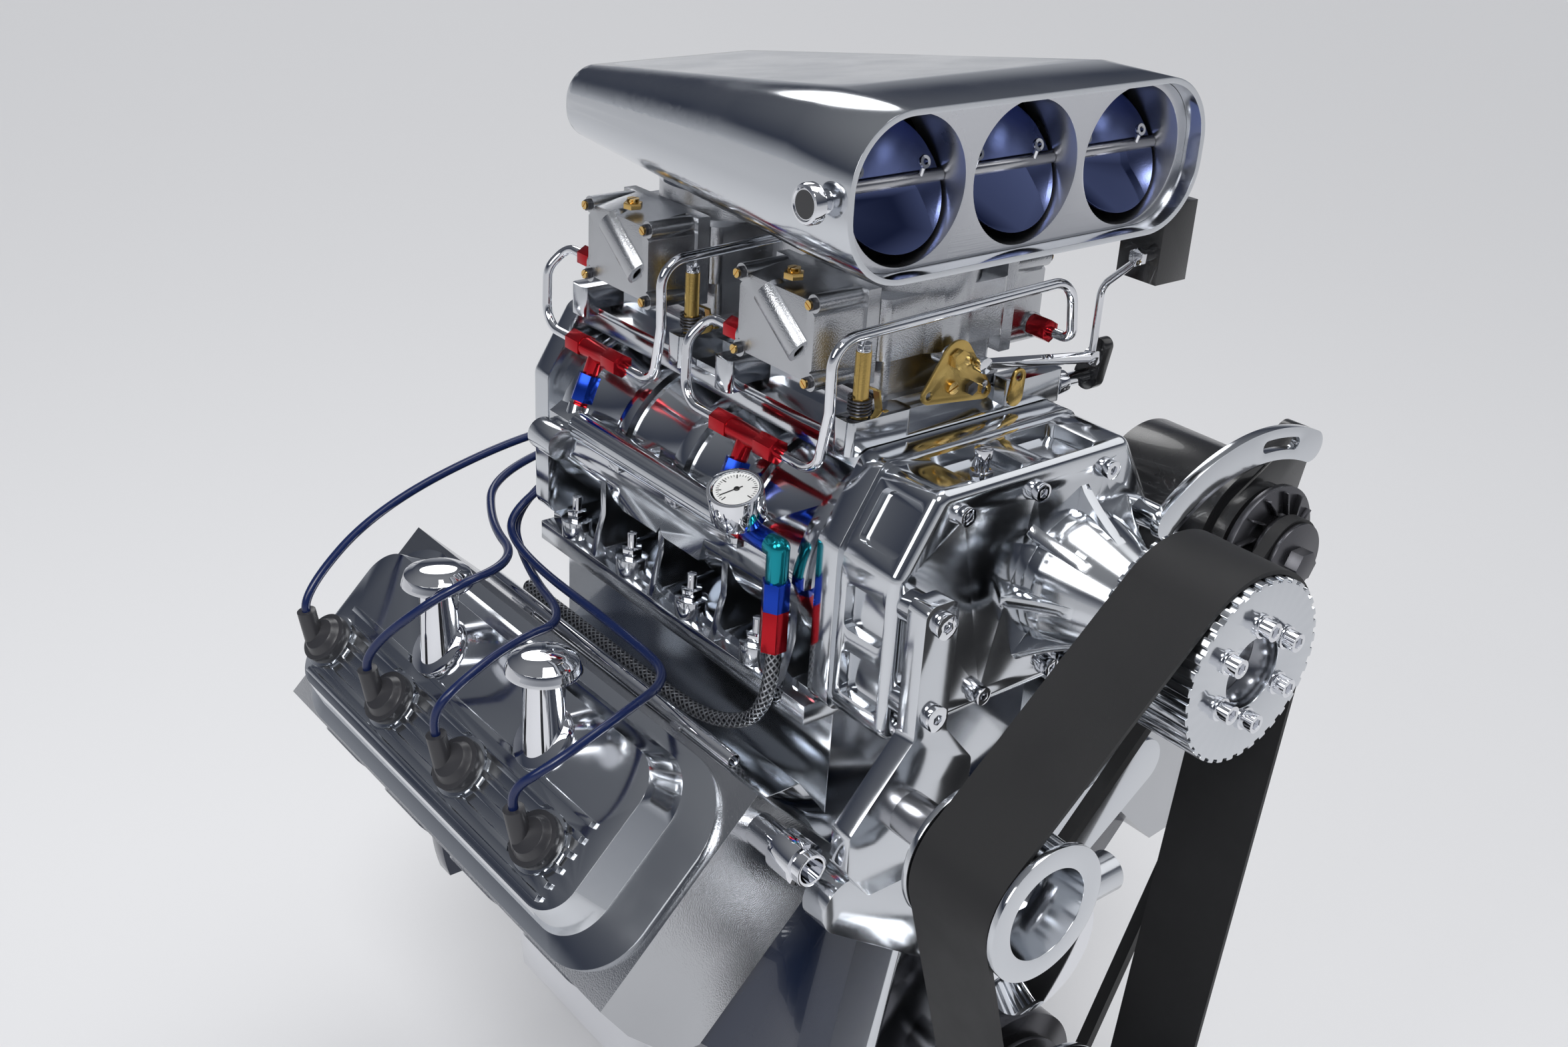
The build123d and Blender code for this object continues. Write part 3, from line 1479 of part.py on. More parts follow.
# Alternator: body with two ears, and its rotor with fan, pulley and nut
head_front_left = bore_y(left, 0) - head_front_margin
mount_front = head_front_left - mount_plate_thickness
arc_start_x = end_plate_half_width - arc_start_inset
arc_start_z = blower_base_z + arc_start_height
swing_radius = hypot(arc_start_x - pivot_x, arc_start_z - pivot_z)
arc_start_angle = degrees(atan2(arc_start_z - pivot_z, arc_start_x - pivot_x))
arc_end_x = pivot_x + swing_radius * cos(radians(arc_end_angle))
arc_end_z = pivot_z + swing_radius * sin(radians(arc_end_angle))
nose_rear = alternator_front + alternator_nose_step
with BuildPart() as alternator:
    disc(alternator_x, alternator_z, alternator_radius, nose_rear, alternator_front + alternator_depth)
    disc(alternator_x, alternator_z, alternator_radius - alternator_nose_inset, alternator_front, nose_rear)
    for ear_x, ear_z, ear_rear in (
        (pivot_x, pivot_z, mount_front),
        (arc_end_x, arc_end_z, arc_rear + alternator_ear_depth),
    ):
        ear = (
            (ear_x, ear_z, alternator_ear_radius),
            (alternator_x, alternator_z, alternator_radius - alternator_nose_inset),
        )
        slab(hull_face(ear_rear, ear), alternator_ear_depth)
    disc(
        alternator_x,
        alternator_z,
        alternator_shaft_radius + running_clearance,
        alternator_front,
        alternator_front + alternator_shaft_depth,
        Mode.SUBTRACT,
    )
save(alternator, "alternator")

fan_rear = alternator_front - alternator_fan_gap
fan_front = fan_rear - alternator_fan_thickness
with BuildPart() as alternator_rotor:
    grooved_rim(alternator_x, alternator_z, alternator_groove_radius)
    disc(alternator_x, alternator_z, alternator_hub_radius, groove_rear, fan_front)
    disc(alternator_x, alternator_z, alternator_fan_radius, fan_front, fan_rear)
    shaft_rear = alternator_front + alternator_shaft_depth - shaft_end_gap
    disc(alternator_x, alternator_z, alternator_shaft_radius, fan_rear, shaft_rear)
    with BuildSketch(at_y(groove_front)):
        with Locations((alternator_x, alternator_z)):
            RegularPolygon(alternator_nut_radius, 6)
    extrude(amount=alternator_nut_height)
save(alternator_rotor, "alternator_rotor")

# Slotted arc between the gear cover and the alternator's upper ear
slot_start_angle = (
    arc_start_angle - arc_slot_share * (arc_start_angle - arc_end_angle) - arc_slot_start_angle
)


def swing_arc(start, end):
    """A piece of the alternator's swing round its pivot, between two angles."""
    return Edge.make_circle(
        swing_radius, Plane(origin=(pivot_x, pivot_z, 0)), start_angle=start, end_angle=end
    )


with BuildPart() as alternator_arc:
    with BuildSketch(at_y(arc_rear)):
        SlotArc(swing_arc(arc_end_angle, arc_start_angle), 2 * arc_half_width)
        slot_path = swing_arc(arc_end_angle + arc_slot_end_angle, slot_start_angle)
        SlotArc(slot_path, 2 * arc_slot_half_width, mode=Mode.SUBTRACT)
    extrude(amount=arc_thickness)
    disc(arc_start_x, arc_start_z, arc_foot_radius, arc_rear, gear_cover_front)
save(alternator_arc, "alternator_arc")

# Lower alternator mount: a plate on the front of the left head with a pivot boss
mount_low = bank_point(left, mount_plate_out, exhaust_low)
mount_high = bank_point(left, mount_plate_out, exhaust_high + mount_plate_radius)
with BuildPart() as alternator_mount:
    plate = (
        (pivot_x, pivot_z, alternator_ear_radius),
        (*mount_low, mount_plate_radius),
        (*mount_high, mount_plate_radius),
    )
    slab(hull_face(head_front_left, plate), mount_plate_thickness)
save(alternator_mount, "alternator_mount")

# Carburettor adapter: a stepped plate with feet beside each carburettor's corners
adapter_mid_y = (adapter_front + adapter_rear) / 2
foot_inner = carb_base_half_width + gasket_gap
foot_outer = carb_end_setback - adapter_end_margin
with BuildPart() as carb_adapter:
    with BuildSketch(Plane.XY.offset(case_top_z)):
        with Locations((0, adapter_mid_y)):
            RectangleRounded(2 * adapter_half_width, adapter_rear - adapter_front, pocket_corner)
    extrude(amount=adapter_flange_thickness)
    with BuildSketch(Plane.XY.offset(case_top_z)):
        with Locations((0, adapter_mid_y)):
            Rectangle(2 * adapter_block_half_width, adapter_rear - adapter_front - 2 * adapter_block_setback)
    extrude(amount=adapter_height)
    for center_y in carb_centers_y:
        for end in (-1, 1):
            with BuildSketch(Plane.XY.offset(case_top_z)):
                for side in (right, left):
                    with Locations((side * adapter_foot_x, center_y + end * (foot_inner + foot_outer) / 2)):
                        RectangleRounded(adapter_foot_length, foot_outer - foot_inner, pocket_corner)
            extrude(amount=adapter_foot_height)
        with BuildSketch(Plane.XY.offset(case_top_z)):
            with Locations((0, center_y)):
                with GridLocations(throttle_bore_spacing, throttle_bore_spacing, 2, 2):
                    Circle(throttle_bore_radius)
        extrude(amount=adapter_height, mode=Mode.SUBTRACT)
save(carb_adapter, "carb_adapter")

# Carburettors, each a body with four throats, and its two fuel bowls
for place, center_y in (("front", carb_centers_y[0]), ("rear", carb_centers_y[1])):
    body_base = adapter_top + carb_base_thickness + carb_throttle_height
    with BuildPart() as carb_body:
        with BuildSketch(Plane.XY.offset(adapter_top)):
            with Locations((0, center_y)):
                RectangleRounded(2 * carb_base_half_length, 2 * carb_base_half_width, carb_base_corner)
        extrude(amount=carb_base_thickness)
        with BuildSketch(Plane.XY.offset(adapter_top)):
            with Locations((0, center_y)):
                RectangleRounded(2 * carb_throttle_half, 2 * carb_throttle_half_width, carb_throttle_corner)
        extrude(amount=carb_base_thickness + carb_throttle_height)
        with BuildSketch(Plane.XY.offset(body_base)):
            with Locations((0, center_y)):
                RectangleRounded(2 * carb_body_half_length, 2 * carb_body_half_width, carb_body_corner)
        extrude(amount=carb_body_height)
        with BuildSketch(Plane.XY.offset(body_base)):
            with Locations((0, center_y)):
                Circle(air_horn_radius)
        extrude(amount=carb_top - body_base)
        with BuildSketch(Plane.XY.offset(carb_top)):
            with Locations((0, center_y)):
                Circle(air_horn_radius - air_horn_wall)
        extrude(amount=-air_horn_depth, mode=Mode.SUBTRACT)
        bar(
            (0, center_y, adapter_top + throttle_shaft_height),
            (0, center_y - shaft_boss_reach, adapter_top + throttle_shaft_height),
            shaft_boss_radius,
        )
        with BuildSketch(Plane.XY.offset(carb_top)):
            with Locations((0, center_y)):
                with GridLocations(throttle_bore_spacing, throttle_bore_spacing, 2, 2):
                    Circle(throttle_bore_radius)
        extrude(amount=-carb_height, mode=Mode.SUBTRACT)
    save(carb_body, f"carb_{place}_body")

    with BuildPart() as carb_bowls:
        for side in (right, left):
            plate_x = side * carb_body_half_length
            face_x = side * (carb_body_half_length + metering_thickness)
            outer_x = face_x + side * bowl_depth
            bowl_mid_z = adapter_top + (bowl_low + bowl_high) / 2
            with BuildSketch(Plane.YZ.offset(plate_x)):
                with Locations((center_y, bowl_mid_z)):
                    Rectangle(2 * (bowl_half_width + metering_overhang), bowl_high - bowl_low)
            extrude(amount=side * metering_thickness)
            with BuildSketch(Plane.YZ.offset(face_x)) as bowl:
                with Locations((center_y, bowl_mid_z)):
                    Rectangle(2 * bowl_half_width, bowl_high - bowl_low)
                chamfer(bowl.vertices(), length=bowl_corner)
            extrude(amount=side * bowl_depth, taper=bowl_draft)
            for lug_y in (center_y - bowl_lug_y, center_y + bowl_lug_y):
                for lug_z in (bowl_mid_z - bowl_lug_z, bowl_mid_z + bowl_lug_z):
                    bar((plate_x, lug_y, lug_z), (outer_x, lug_y, lug_z), bowl_lug_radius)
            inlet_z = adapter_top + inlet_height
            bar(
                (side * inlet_x, center_y, inlet_z),
                (side * inlet_x, center_y - side * bowl_half_width, inlet_z),
                inlet_boss_radius,
            )
            lean = radians(bowl_tube_lean)
            tube_way = Vector(0, side * cos(lean), -sin(lean))
            tube_x = outer_x - side * bowl_tube_radius / 2
            tube_top_z = adapter_top + bowl_high - bowl_corner
            tube_top = Vector(tube_x, center_y - side * bowl_tube_start, tube_top_z)
            tube_low = tube_top + tube_way * bowl_tube_reach
            bar(tube_top, tube_low, bowl_tube_radius)
            bar(tube_low - tube_way * bowl_tube_bore, tube_low, bowl_tube_bore, mode=Mode.SUBTRACT)
    save(carb_bowls, f"carb_{place}_bowls")

# Air scoop: a flat-topped hat that tapers to the rear, open at the front
rim_mid_z = scoop_rim_low + scoop_rim_height / 2
tail_mid_z = scoop_rim_low + scoop_tail_height / 2
taper_start = scoop_front + scoop_straight


def scoop_section(y, mid_z, half_width, height, corner, inset):
    """A rounded section of the scoop, smaller all round by inset."""
    with BuildSketch(at_y(y)) as section:
        with Locations((0, mid_z)):
            RectangleRounded(2 * (half_width - inset), height - 2 * inset, corner - inset)
    return section.sketch


with BuildPart() as air_scoop:
    for inset, mode in ((0.0, Mode.ADD), (scoop_wall, Mode.SUBTRACT)):
        front_section = (rim_mid_z, scoop_rim_half_width, scoop_rim_height, scoop_rim_corner, inset)
        tail_section = (tail_mid_z, scoop_tail_half_width, scoop_tail_height, scoop_tail_corner, inset)
        tail_y = scoop_rear - inset
        slab(scoop_section(taper_start, *front_section), scoop_straight, mode)
        sections = [scoop_section(taper_start, *front_section), scoop_section(tail_y, *tail_section)]
        loft(sections=sections, mode=mode)
        if mode == Mode.ADD:
            with BuildSketch(Plane.XY.offset(carb_top + scoop_neck_seat)):
                with Locations(*[(0, y) for y in carb_centers_y]):
                    Circle(scoop_neck_radius)
            extrude(amount=scoop_rim_low + scoop_wall - carb_top)
    with BuildSketch(Plane.XY.offset(carb_top)):
        with Locations(*[(0, y) for y in carb_centers_y]):
            Circle(scoop_neck_radius - scoop_wall)
    extrude(amount=scoop_rim_low + scoop_wall + 4 - carb_top, mode=Mode.SUBTRACT)
save(air_scoop, "air_scoop")

plate_rear = scoop_front + scoop_plate_setback + scoop_plate_thickness
bore_places = [(offset_x, rim_mid_z) for offset_x in (-scoop_bore_spacing, 0, scoop_bore_spacing)]
with BuildPart() as scoop_plate:
    plate_inset = scoop_wall + gasket_gap
    plate_section = (rim_mid_z, scoop_rim_half_width, scoop_rim_height, scoop_rim_corner, plate_inset)
    slab(scoop_section(plate_rear, *plate_section), scoop_plate_thickness)
    with BuildSketch(at_y(plate_rear + scoop_barrel_length)):
        with Locations(*bore_places):
            Circle(scoop_bore_radius + scoop_barrel_wall)
    extrude(amount=scoop_barrel_length)
    with BuildSketch(at_y(plate_rear + scoop_barrel_length)):
        with Locations(*bore_places):
            Circle(scoop_bore_radius)
    extrude(amount=scoop_barrel_length + scoop_plate_thickness, mode=Mode.SUBTRACT)
save(scoop_plate, "scoop_plate")

shaft_y = plate_rear + scoop_barrel_length / 2
with BuildPart() as scoop_butterflies:
    for bore_x, bore_z in bore_places:
        leaf = Plane(
            origin=(bore_x, shaft_y, bore_z),
            x_dir=(1, 0, 0),
            z_dir=(0, -cos(radians(butterfly_tilt)), sin(radians(butterfly_tilt))),
        )
        with BuildSketch(leaf):
            Circle(scoop_bore_radius - butterfly_rim_gap)
        extrude(amount=butterfly_thickness / 2, both=True)
        with BuildSketch(Plane.YZ.offset(bore_x - scoop_bore_radius + butterfly_gap)):
            with Locations((shaft_y, bore_z)):
                Circle(scoop_shaft_radius)
        extrude(amount=2 * (scoop_bore_radius - butterfly_gap))
save(scoop_butterflies, "scoop_butterflies")

# Fuel log: a grooved tube with a boss under each tee, clamps, and a knob at its rear
lobe_side = -rotor_offset - sqrt(lobe_radius**2 - (log_z - rotor_z) ** 2)
tee_places = [Vector(log_x + tee_in, y + tee_behind_carb, log_z + tee_above_log) for y in carb_centers_y]
stem_way = Vector(tee_in, 0, tee_above_log).normalized()
with BuildPart() as fuel_log:
    with BuildSketch(at_y(log_rear)):
        with Locations((log_x, log_z)):
            Circle(log_radius)
            with PolarLocations(log_radius, log_groove_count):
                Rectangle(2 * log_groove_depth, log_groove_width, mode=Mode.SUBTRACT)
    extrude(amount=log_rear - log_front)
    for tee in tee_places:
        stem_foot = Vector(log_x, tee.Y, log_z)
        bar(stem_foot, stem_foot + stem_way * log_boss_reach, log_boss_radius)
    for rib_behind, rib_ahead in zip(rib_places[1:], rib_places[2:4]):
        clamp_y = (rib_behind + rib_ahead) / 2
        with BuildSketch(at_y(clamp_y + log_clamp_width / 2)):
            with Locations(((log_x + lobe_side) / 2, log_z)):
                Rectangle(lobe_side - log_x, log_clamp_height)
            with Locations((-rotor_offset, rotor_z)):
                Circle(lobe_radius + gasket_gap, mode=Mode.SUBTRACT)
        extrude(amount=log_clamp_width)
    log_end = log_rear + log_hex_length
    bar((log_x, log_rear, log_z), (log_x, log_end, log_z), log_hex_radius, sides=6)
    stub_y = log_rear + log_hex_length / 2
    knob_x = log_x - log_knob_out
    knob_z = log_z - log_knob_drop
    bar((log_x, stub_y, log_z), (knob_x, stub_y, knob_z), log_stub_radius)
    bar((knob_x, log_end, knob_z), (knob_x, log_end - log_knob_length, knob_z), log_knob_radius)
save(fuel_log, "fuel_log")

# Red fittings: tees, their lower stems, the bowls' inlet nuts, the log's front end
# and the collar on the hose
end_hex_front = log_front - end_hex_length
elbow_y = log_front - elbow_reach
elbow_low_z = log_z - elbow_drop
blue_collar_z = elbow_low_z - blue_collar_length
hose_top_z = blue_collar_z - red_collar_length
inlet_z = adapter_top + inlet_height
inlet_reach = bowl_half_width + inlet_nut_length
with BuildPart() as fuel_tees:
    for tee in tee_places:
        tee_end = Vector(0, tee_half_length, 0)
        nut_start = Vector(0, tee_half_length - tee_nut_length, 0)
        bar(tee - tee_end, tee + tee_end, tee_radius)
        bar(tee - tee_end, tee - nut_start, tee_nut_radius, sides=6)
        bar(tee + nut_start, tee + tee_end, tee_nut_radius, sides=6)
        bar(tee, tee - stem_way * stem_hex_start, stem_radius)
        stem_foot = Vector(log_x, tee.Y, log_z) + stem_way * log_boss_reach
        bar(stem_foot, tee - stem_way * (stem_hex_start + stem_hex_length), stem_radius, sides=6)
    for center_y in carb_centers_y:
        for side in (right, left):
            seat_y = center_y - side * bowl_half_width
            bar(
                (side * inlet_x, seat_y, inlet_z),
                (side * inlet_x, center_y - side * inlet_reach, inlet_z),
                inlet_nut_radius,
                sides=6,
            )
    bar((log_x, end_hex_front, log_z), (log_x, log_front, log_z), end_hex_radius, sides=6)
    end_boss_y = (end_hex_front + log_front) / 2
    bar((log_x, end_boss_y, log_z), (log_x, end_boss_y, log_z + end_hex_radius), end_boss_radius)
    bar((log_x, elbow_y, hose_top_z), (log_x, elbow_y, blue_collar_z), collar_radius, sides=6)
save(fuel_tees, "fuel_tees")

# Blue fittings: the hexes under the tees, the elbow's body and its collar
with BuildPart() as fuel_nuts:
    for tee in tee_places:
        hex_top = tee - stem_way * stem_hex_start
        bar(hex_top - stem_way * stem_hex_length, hex_top, stem_hex_radius, sides=6)
    bar(
        (log_x, end_hex_front - elbow_lead, log_z),
        (log_x, end_hex_front, log_z),
        elbow_radius,
    )
    bar((log_x, elbow_y, blue_collar_z), (log_x, elbow_y, elbow_low_z), collar_radius, sides=6)
save(fuel_nuts, "fuel_nuts")

with BuildPart() as hose_elbow:
    bar((log_x, elbow_y, log_z), (log_x, end_hex_front - elbow_lead, log_z), elbow_radius)
    bar((log_x, elbow_y, elbow_low_z), (log_x, elbow_y, log_z), elbow_radius)
    with Locations((log_x, elbow_y, log_z)):
        Sphere(elbow_radius)
save(hose_elbow, "hose_elbow")

# Hard fuel lines: from each tee one line round the front to the far bowl and one
# behind to the near bowl. Columns: x, y from the carburettor's centre, z above the adapter
far_line = (
    (-130.0, -79.0, 20.0),
    (-132.0, -80.0, 74.0),
    (100.0, -91.0, 87.0),
    (inlet_x, -91.0, inlet_height),
)
near_line = (
    (-124.0, 103.0, 18.0),
    (-inlet_x, 96.0, inlet_height),
)
with BuildPart() as fuel_lines:
    for tee, center_y in zip(tee_places, carb_centers_y):
        adapter_point = Vector(0, center_y, adapter_top)
        far_end = Vector(inlet_x, center_y - inlet_reach, inlet_z)
        near_end = Vector(-inlet_x, center_y + inlet_reach, inlet_z)
        far_points = [adapter_point + Vector(*step) for step in far_line]
        near_points = [adapter_point + Vector(*step) for step in near_line]
        tee_end = Vector(0, tee_half_length, 0)
        run = Vector(0, tee_half_length + line_run, 0)
        bent_tube([tee - tee_end, tee - run, *far_points, far_end], line_bend, line_radius)
        bent_tube([tee + tee_end, tee + run, *near_points, near_end], line_bend, line_radius)
save(fuel_lines, "fuel_lines")

# Gauge, leaning on a short stem
gauge_foot = Vector(log_x, end_boss_y, log_z + end_hex_radius)
gauge_knee = gauge_foot + Vector(0, 0, gauge_stem_rise)
gauge_way = Vector(gauge_lean).normalized()
gauge_top = Vector(log_x, end_boss_y, log_z) + Vector(gauge_shift)
gauge_base = gauge_top - gauge_way * gauge_depth
with BuildPart() as fuel_gauge:
    bar(gauge_foot, gauge_knee, gauge_stem_radius)
    with Locations(gauge_knee):
        Sphere(gauge_stem_radius)
    bar(gauge_knee, gauge_base + gauge_way * gauge_bezel, gauge_stem_radius)
    bar(gauge_base, gauge_top, gauge_radius)
    bar(
        gauge_top - gauge_way * gauge_dial_recess,
        gauge_top,
        gauge_radius - gauge_bezel,
        mode=Mode.SUBTRACT,
    )
save(fuel_gauge, "fuel_gauge")

# Braided supply hose, lying on the manifold's foot
manifold_rear = case_rear + manifold_overhang
hose_rest_z = foot_high[1] + hose_radius + gasket_gap
hose_points = [(log_x, elbow_y, hose_top_z), (log_x, elbow_y, hose_top_z - hose_fall)]
for out, rear, up in hose_bends:
    hose_points.append((log_x + out, elbow_y + rear, hose_rest_z + up))
hose_points.append((log_x + hose_bends[0][0], manifold_rear, hose_rest_z))
with BuildPart() as fuel_hose:
    bent_tube(hose_points, hose_bend, hose_radius)
save(fuel_hose, "fuel_hose")

# Throttle linkage: lobed plates, nuts, links, pump posts and the bowls' screws.
# Columns of a lobe: x, z above the adapter, radius
shaft_z = adapter_top + throttle_shaft_height
upper_lobes = ((0.0, throttle_shaft_height, 15.0), (-27.0, 10.0, 7.0), (33.0, 3.0, 7.0))
lower_lobes = ((-4.0, 13.0, 9.0), (16.0, 9.0, 9.0), (30.0, 10.0, 6.0))
link_lobes = ((58.0, 13.0, 7.0), (56.0, -3.0, 8.0))


def raised_lobes(lobes):
    """A plate's lobes with their heights taken up from the adapter."""
    return [(x, adapter_top + height, radius) for x, height, radius in lobes]


with BuildPart() as carb_linkage:
    plate_front_y = carb_centers_y[0] - plate_front_reach
    plate_rear_y = plate_front_y + plate_thickness
    slab(hull_face(plate_rear_y, raised_lobes(upper_lobes)), plate_thickness)
    slab(hull_face(plate_rear_y + plate_thickness, raised_lobes(lower_lobes)), plate_thickness)
    foot_front = carb_centers_y[0] - foot_outer
    slab(hull_face(foot_front, raised_lobes(link_lobes)), plate_thickness)
    for lobe, hole_rear in (
        (upper_lobes[1], plate_rear_y),
        (upper_lobes[2], plate_rear_y),
        (link_lobes[0], foot_front),
    ):
        hole_z = adapter_top + lobe[1]
        hole_front = hole_rear - plate_thickness
        disc(lobe[0], hole_z, link_hole_radius, hole_front, hole_rear, Mode.SUBTRACT)
    for center_y in carb_centers_y:
        nut_foot = Vector(0, center_y - plate_front_reach, shaft_z)
        nut_face = nut_foot - Vector(0, linkage_nut_height, 0)
        disc(0, shaft_z, throttle_shaft_radius, center_y - throttle_shaft_reach, center_y - shaft_boss_reach)
        bar(nut_foot, nut_face, linkage_nut_radius, sides=6)
        post_y = center_y - (foot_inner + foot_outer) / 2
        post = Vector(brass_post_x, post_y, case_top_z + adapter_foot_height)
        bar(post, post + Vector(0, 0, brass_post_hex_height), brass_post_radius + 1, sides=6)
        bar(post, post + Vector(0, 0, brass_post_height), brass_post_radius)
        for side in (right, left):
            face_x = side * (carb_body_half_length + metering_thickness + bowl_depth)
            bowl_mid_z = adapter_top + (bowl_low + bowl_high) / 2
            for screw_y in (center_y - bowl_lug_y, center_y + bowl_lug_y):
                for screw_z in (bowl_mid_z - bowl_lug_z, bowl_mid_z + bowl_lug_z):
                    screw = Vector(face_x, screw_y, screw_z)
                    head = Vector(side * bowl_screw_height, 0, 0)
                    bar(screw, screw + head, bowl_screw_radius, sides=6)
save(carb_linkage, "carb_linkage")

# Link rod to the left, the cross shaft there and the rod up to the scoop's lever
rod_y = carb_centers_y[0] - rod_reach
rod_from = Vector(rod_start[0], rod_y, adapter_top + rod_start[1])
rod_to = Vector(lever_x - rod_eye_radius - gasket_gap, rod_y, adapter_top + rod_end_rise)
foot_end_x = adapter_foot_x + adapter_foot_length / 2
cross_y = carb_centers_y[0] - (foot_inner + foot_outer) / 2
cross_z = case_top_z + cross_shaft_rise
block_front_y = scoop_front + block_front_setback
pin = Vector(block_inner_x, block_front_y + cross_shaft_rise, scoop_rim_low - block_low / 2)
with BuildPart() as throttle_rod:
    bar(rod_from, rod_to, hex_rod_radius, sides=6)
    for eye in (rod_from, rod_to):
        disc(eye.X, eye.Z, rod_eye_radius, eye.Y - rod_eye_width / 2, eye.Y + rod_eye_width / 2)
    stud_rear = carb_centers_y[0] - plate_front_reach
    disc(rod_from.X, rod_from.Z, rod_stud_radius, rod_from.Y, stud_rear)
    bar(rod_to, (lever_x, rod_to.Y, rod_to.Z), rod_stud_radius)
    cross = Vector(foot_end_x, cross_y, cross_z)
    bar(cross, cross + Vector(cross_boss_length, 0, 0), cross_boss_radius)
    bar(cross, Vector(lever_x, cross_y, cross_z), cross_shaft_radius)
    pin_tip = pin - Vector(scoop_pin_length, 0, 0)
    bar(pin_tip, pin, scoop_pin_radius)
    bar(pin_tip, pin_tip + Vector(scoop_nut_height, 0, 0), scoop_nut_radius, sides=6)
    rod_up = rod_to + Vector(0, 0, scoop_rod_rise)
    bent_tube([rod_to, rod_up, pin - Vector(scoop_pin_length / 2, 0, 0)], line_bend, scoop_rod_radius)
save(throttle_rod, "throttle_rod")

# Black lever on the cross shaft, and the lever block under the scoop's left edge
with BuildPart() as scoop_lever:
    with BuildSketch(Plane.YZ.offset(lever_x)):
        with BuildLine():
            CenterArc((cross_y, cross_z), lever_foot_radius, 0, 360)
            CenterArc((rod_y, cross_z + lever_tip_rise), lever_tip_radius, 0, 360)
        make_hull()
    extrude(amount=lever_thickness)
    block_mid_x = block_inner_x + block_width / 2
    with BuildSketch(at_y(block_front_y + block_depth)):
        with Locations((block_mid_x, scoop_rim_low + (block_high - block_low) / 2)):
            Rectangle(block_width, block_high + block_low)
        with Locations((0, scoop_rim_low + scoop_rim_height / 2)):
            RectangleRounded(
                2 * (scoop_rim_half_width + gasket_gap),
                scoop_rim_height + 2 * gasket_gap,
                scoop_rim_corner + gasket_gap,
                mode=Mode.SUBTRACT,
            )
    extrude(amount=block_depth)
save(scoop_lever, "scoop_lever")

# Distributor at the rear of the valley
post_step = 360 / distributor_post_count
with BuildPart() as distributor:
    with BuildSketch(Plane.XY.offset(valley_floor_height)):
        with Locations((0, distributor_y)):
            Circle(distributor_base_radius)
    extrude(amount=distributor_cap_z - valley_floor_height)
    with BuildSketch(Plane.XY.offset(distributor_cap_z)):
        with Locations((0, distributor_y)):
            Circle(distributor_radius)
    extrude(amount=distributor_top_z - distributor_cap_z, taper=distributor_draft)
    with BuildSketch(Plane.XY.offset(distributor_top_z)):
        with Locations((0, distributor_y)):
            with PolarLocations(distributor_post_circle, distributor_post_count, start_angle=post_step / 2):
                Circle(distributor_post_radius)
    extrude(amount=distributor_post_height)
save(distributor, "distributor")

# Plug wires, from each boot's neck to a post of the distributor. The outer points
# move with their bank. Columns: x, y, z on the right-hand side
wire_ways = (
    (
        ((-325.0, -432.0, 358.0), (-256.0, -427.0, 378.0), (-188.0, -392.0, 368.0), (-172.0, -330.0, 362.0)),
        ((-172.0, -110.0, 362.0), (-150.0, -84.0, 392.0)),
    ),
    (
        ((-330.0, -293.0, 356.0), (-262.0, -274.0, 370.0), (-200.0, -258.0, 362.0)),
        ((-168.0, -140.0, 346.0), (-146.0, -64.0, 376.0)),
    ),
    (
        ((-302.0, -226.0, 404.0), (-222.0, -215.0, 408.0)),
        ((-196.0, -120.0, 396.0), (-150.0, -42.0, 404.0)),
    ),
    (
        ((-255.0, -14.0, 385.0),),
        ((-100.0, -14.0, 424.0),),
    ),
)
post_top_z = distributor_top_z + distributor_post_height
for side, hand in ((right, "right"), (left, "left")):
    with BuildPart() as plug_wires:
        for index, (outer_way, inner_way) in enumerate(wire_ways):
            neck_foot, neck_top = boot_neck(side, index)
            neck_way = (neck_top - neck_foot).normalized()
            angle = radians(90 - side * (180 - (index + 0.5) * post_step))
            post = Vector(distributor_post_circle * cos(angle), distributor_post_circle * sin(angle), 0)
            post_top = post + Vector(0, distributor_y, post_top_z)
            shift = bank_stagger if side == left else 0
            outer_points = [Vector(-side * x, y - shift, z) for x, y, z in outer_way]
            inner_points = [Vector(-side * x, y, z) for x, y, z in inner_way]
            points = [
                neck_top,
                neck_top + neck_way * wire_rise,
                *outer_points,
                *inner_points,
                post_top + Vector(0, 0, wire_drop),
                post_top,
            ]
            bent_tube(points, wire_bend, wire_radius)
    save(plug_wires, f"plug_wires_{hand}")
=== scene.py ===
"""Looks of a supercharged V8 engine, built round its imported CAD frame."""

from __future__ import annotations

import json
import logging
import math
from collections.abc import Iterable, Sequence
from dataclasses import dataclass
from enum import Enum

import bmesh
import bpy
from mathutils import Matrix, Vector

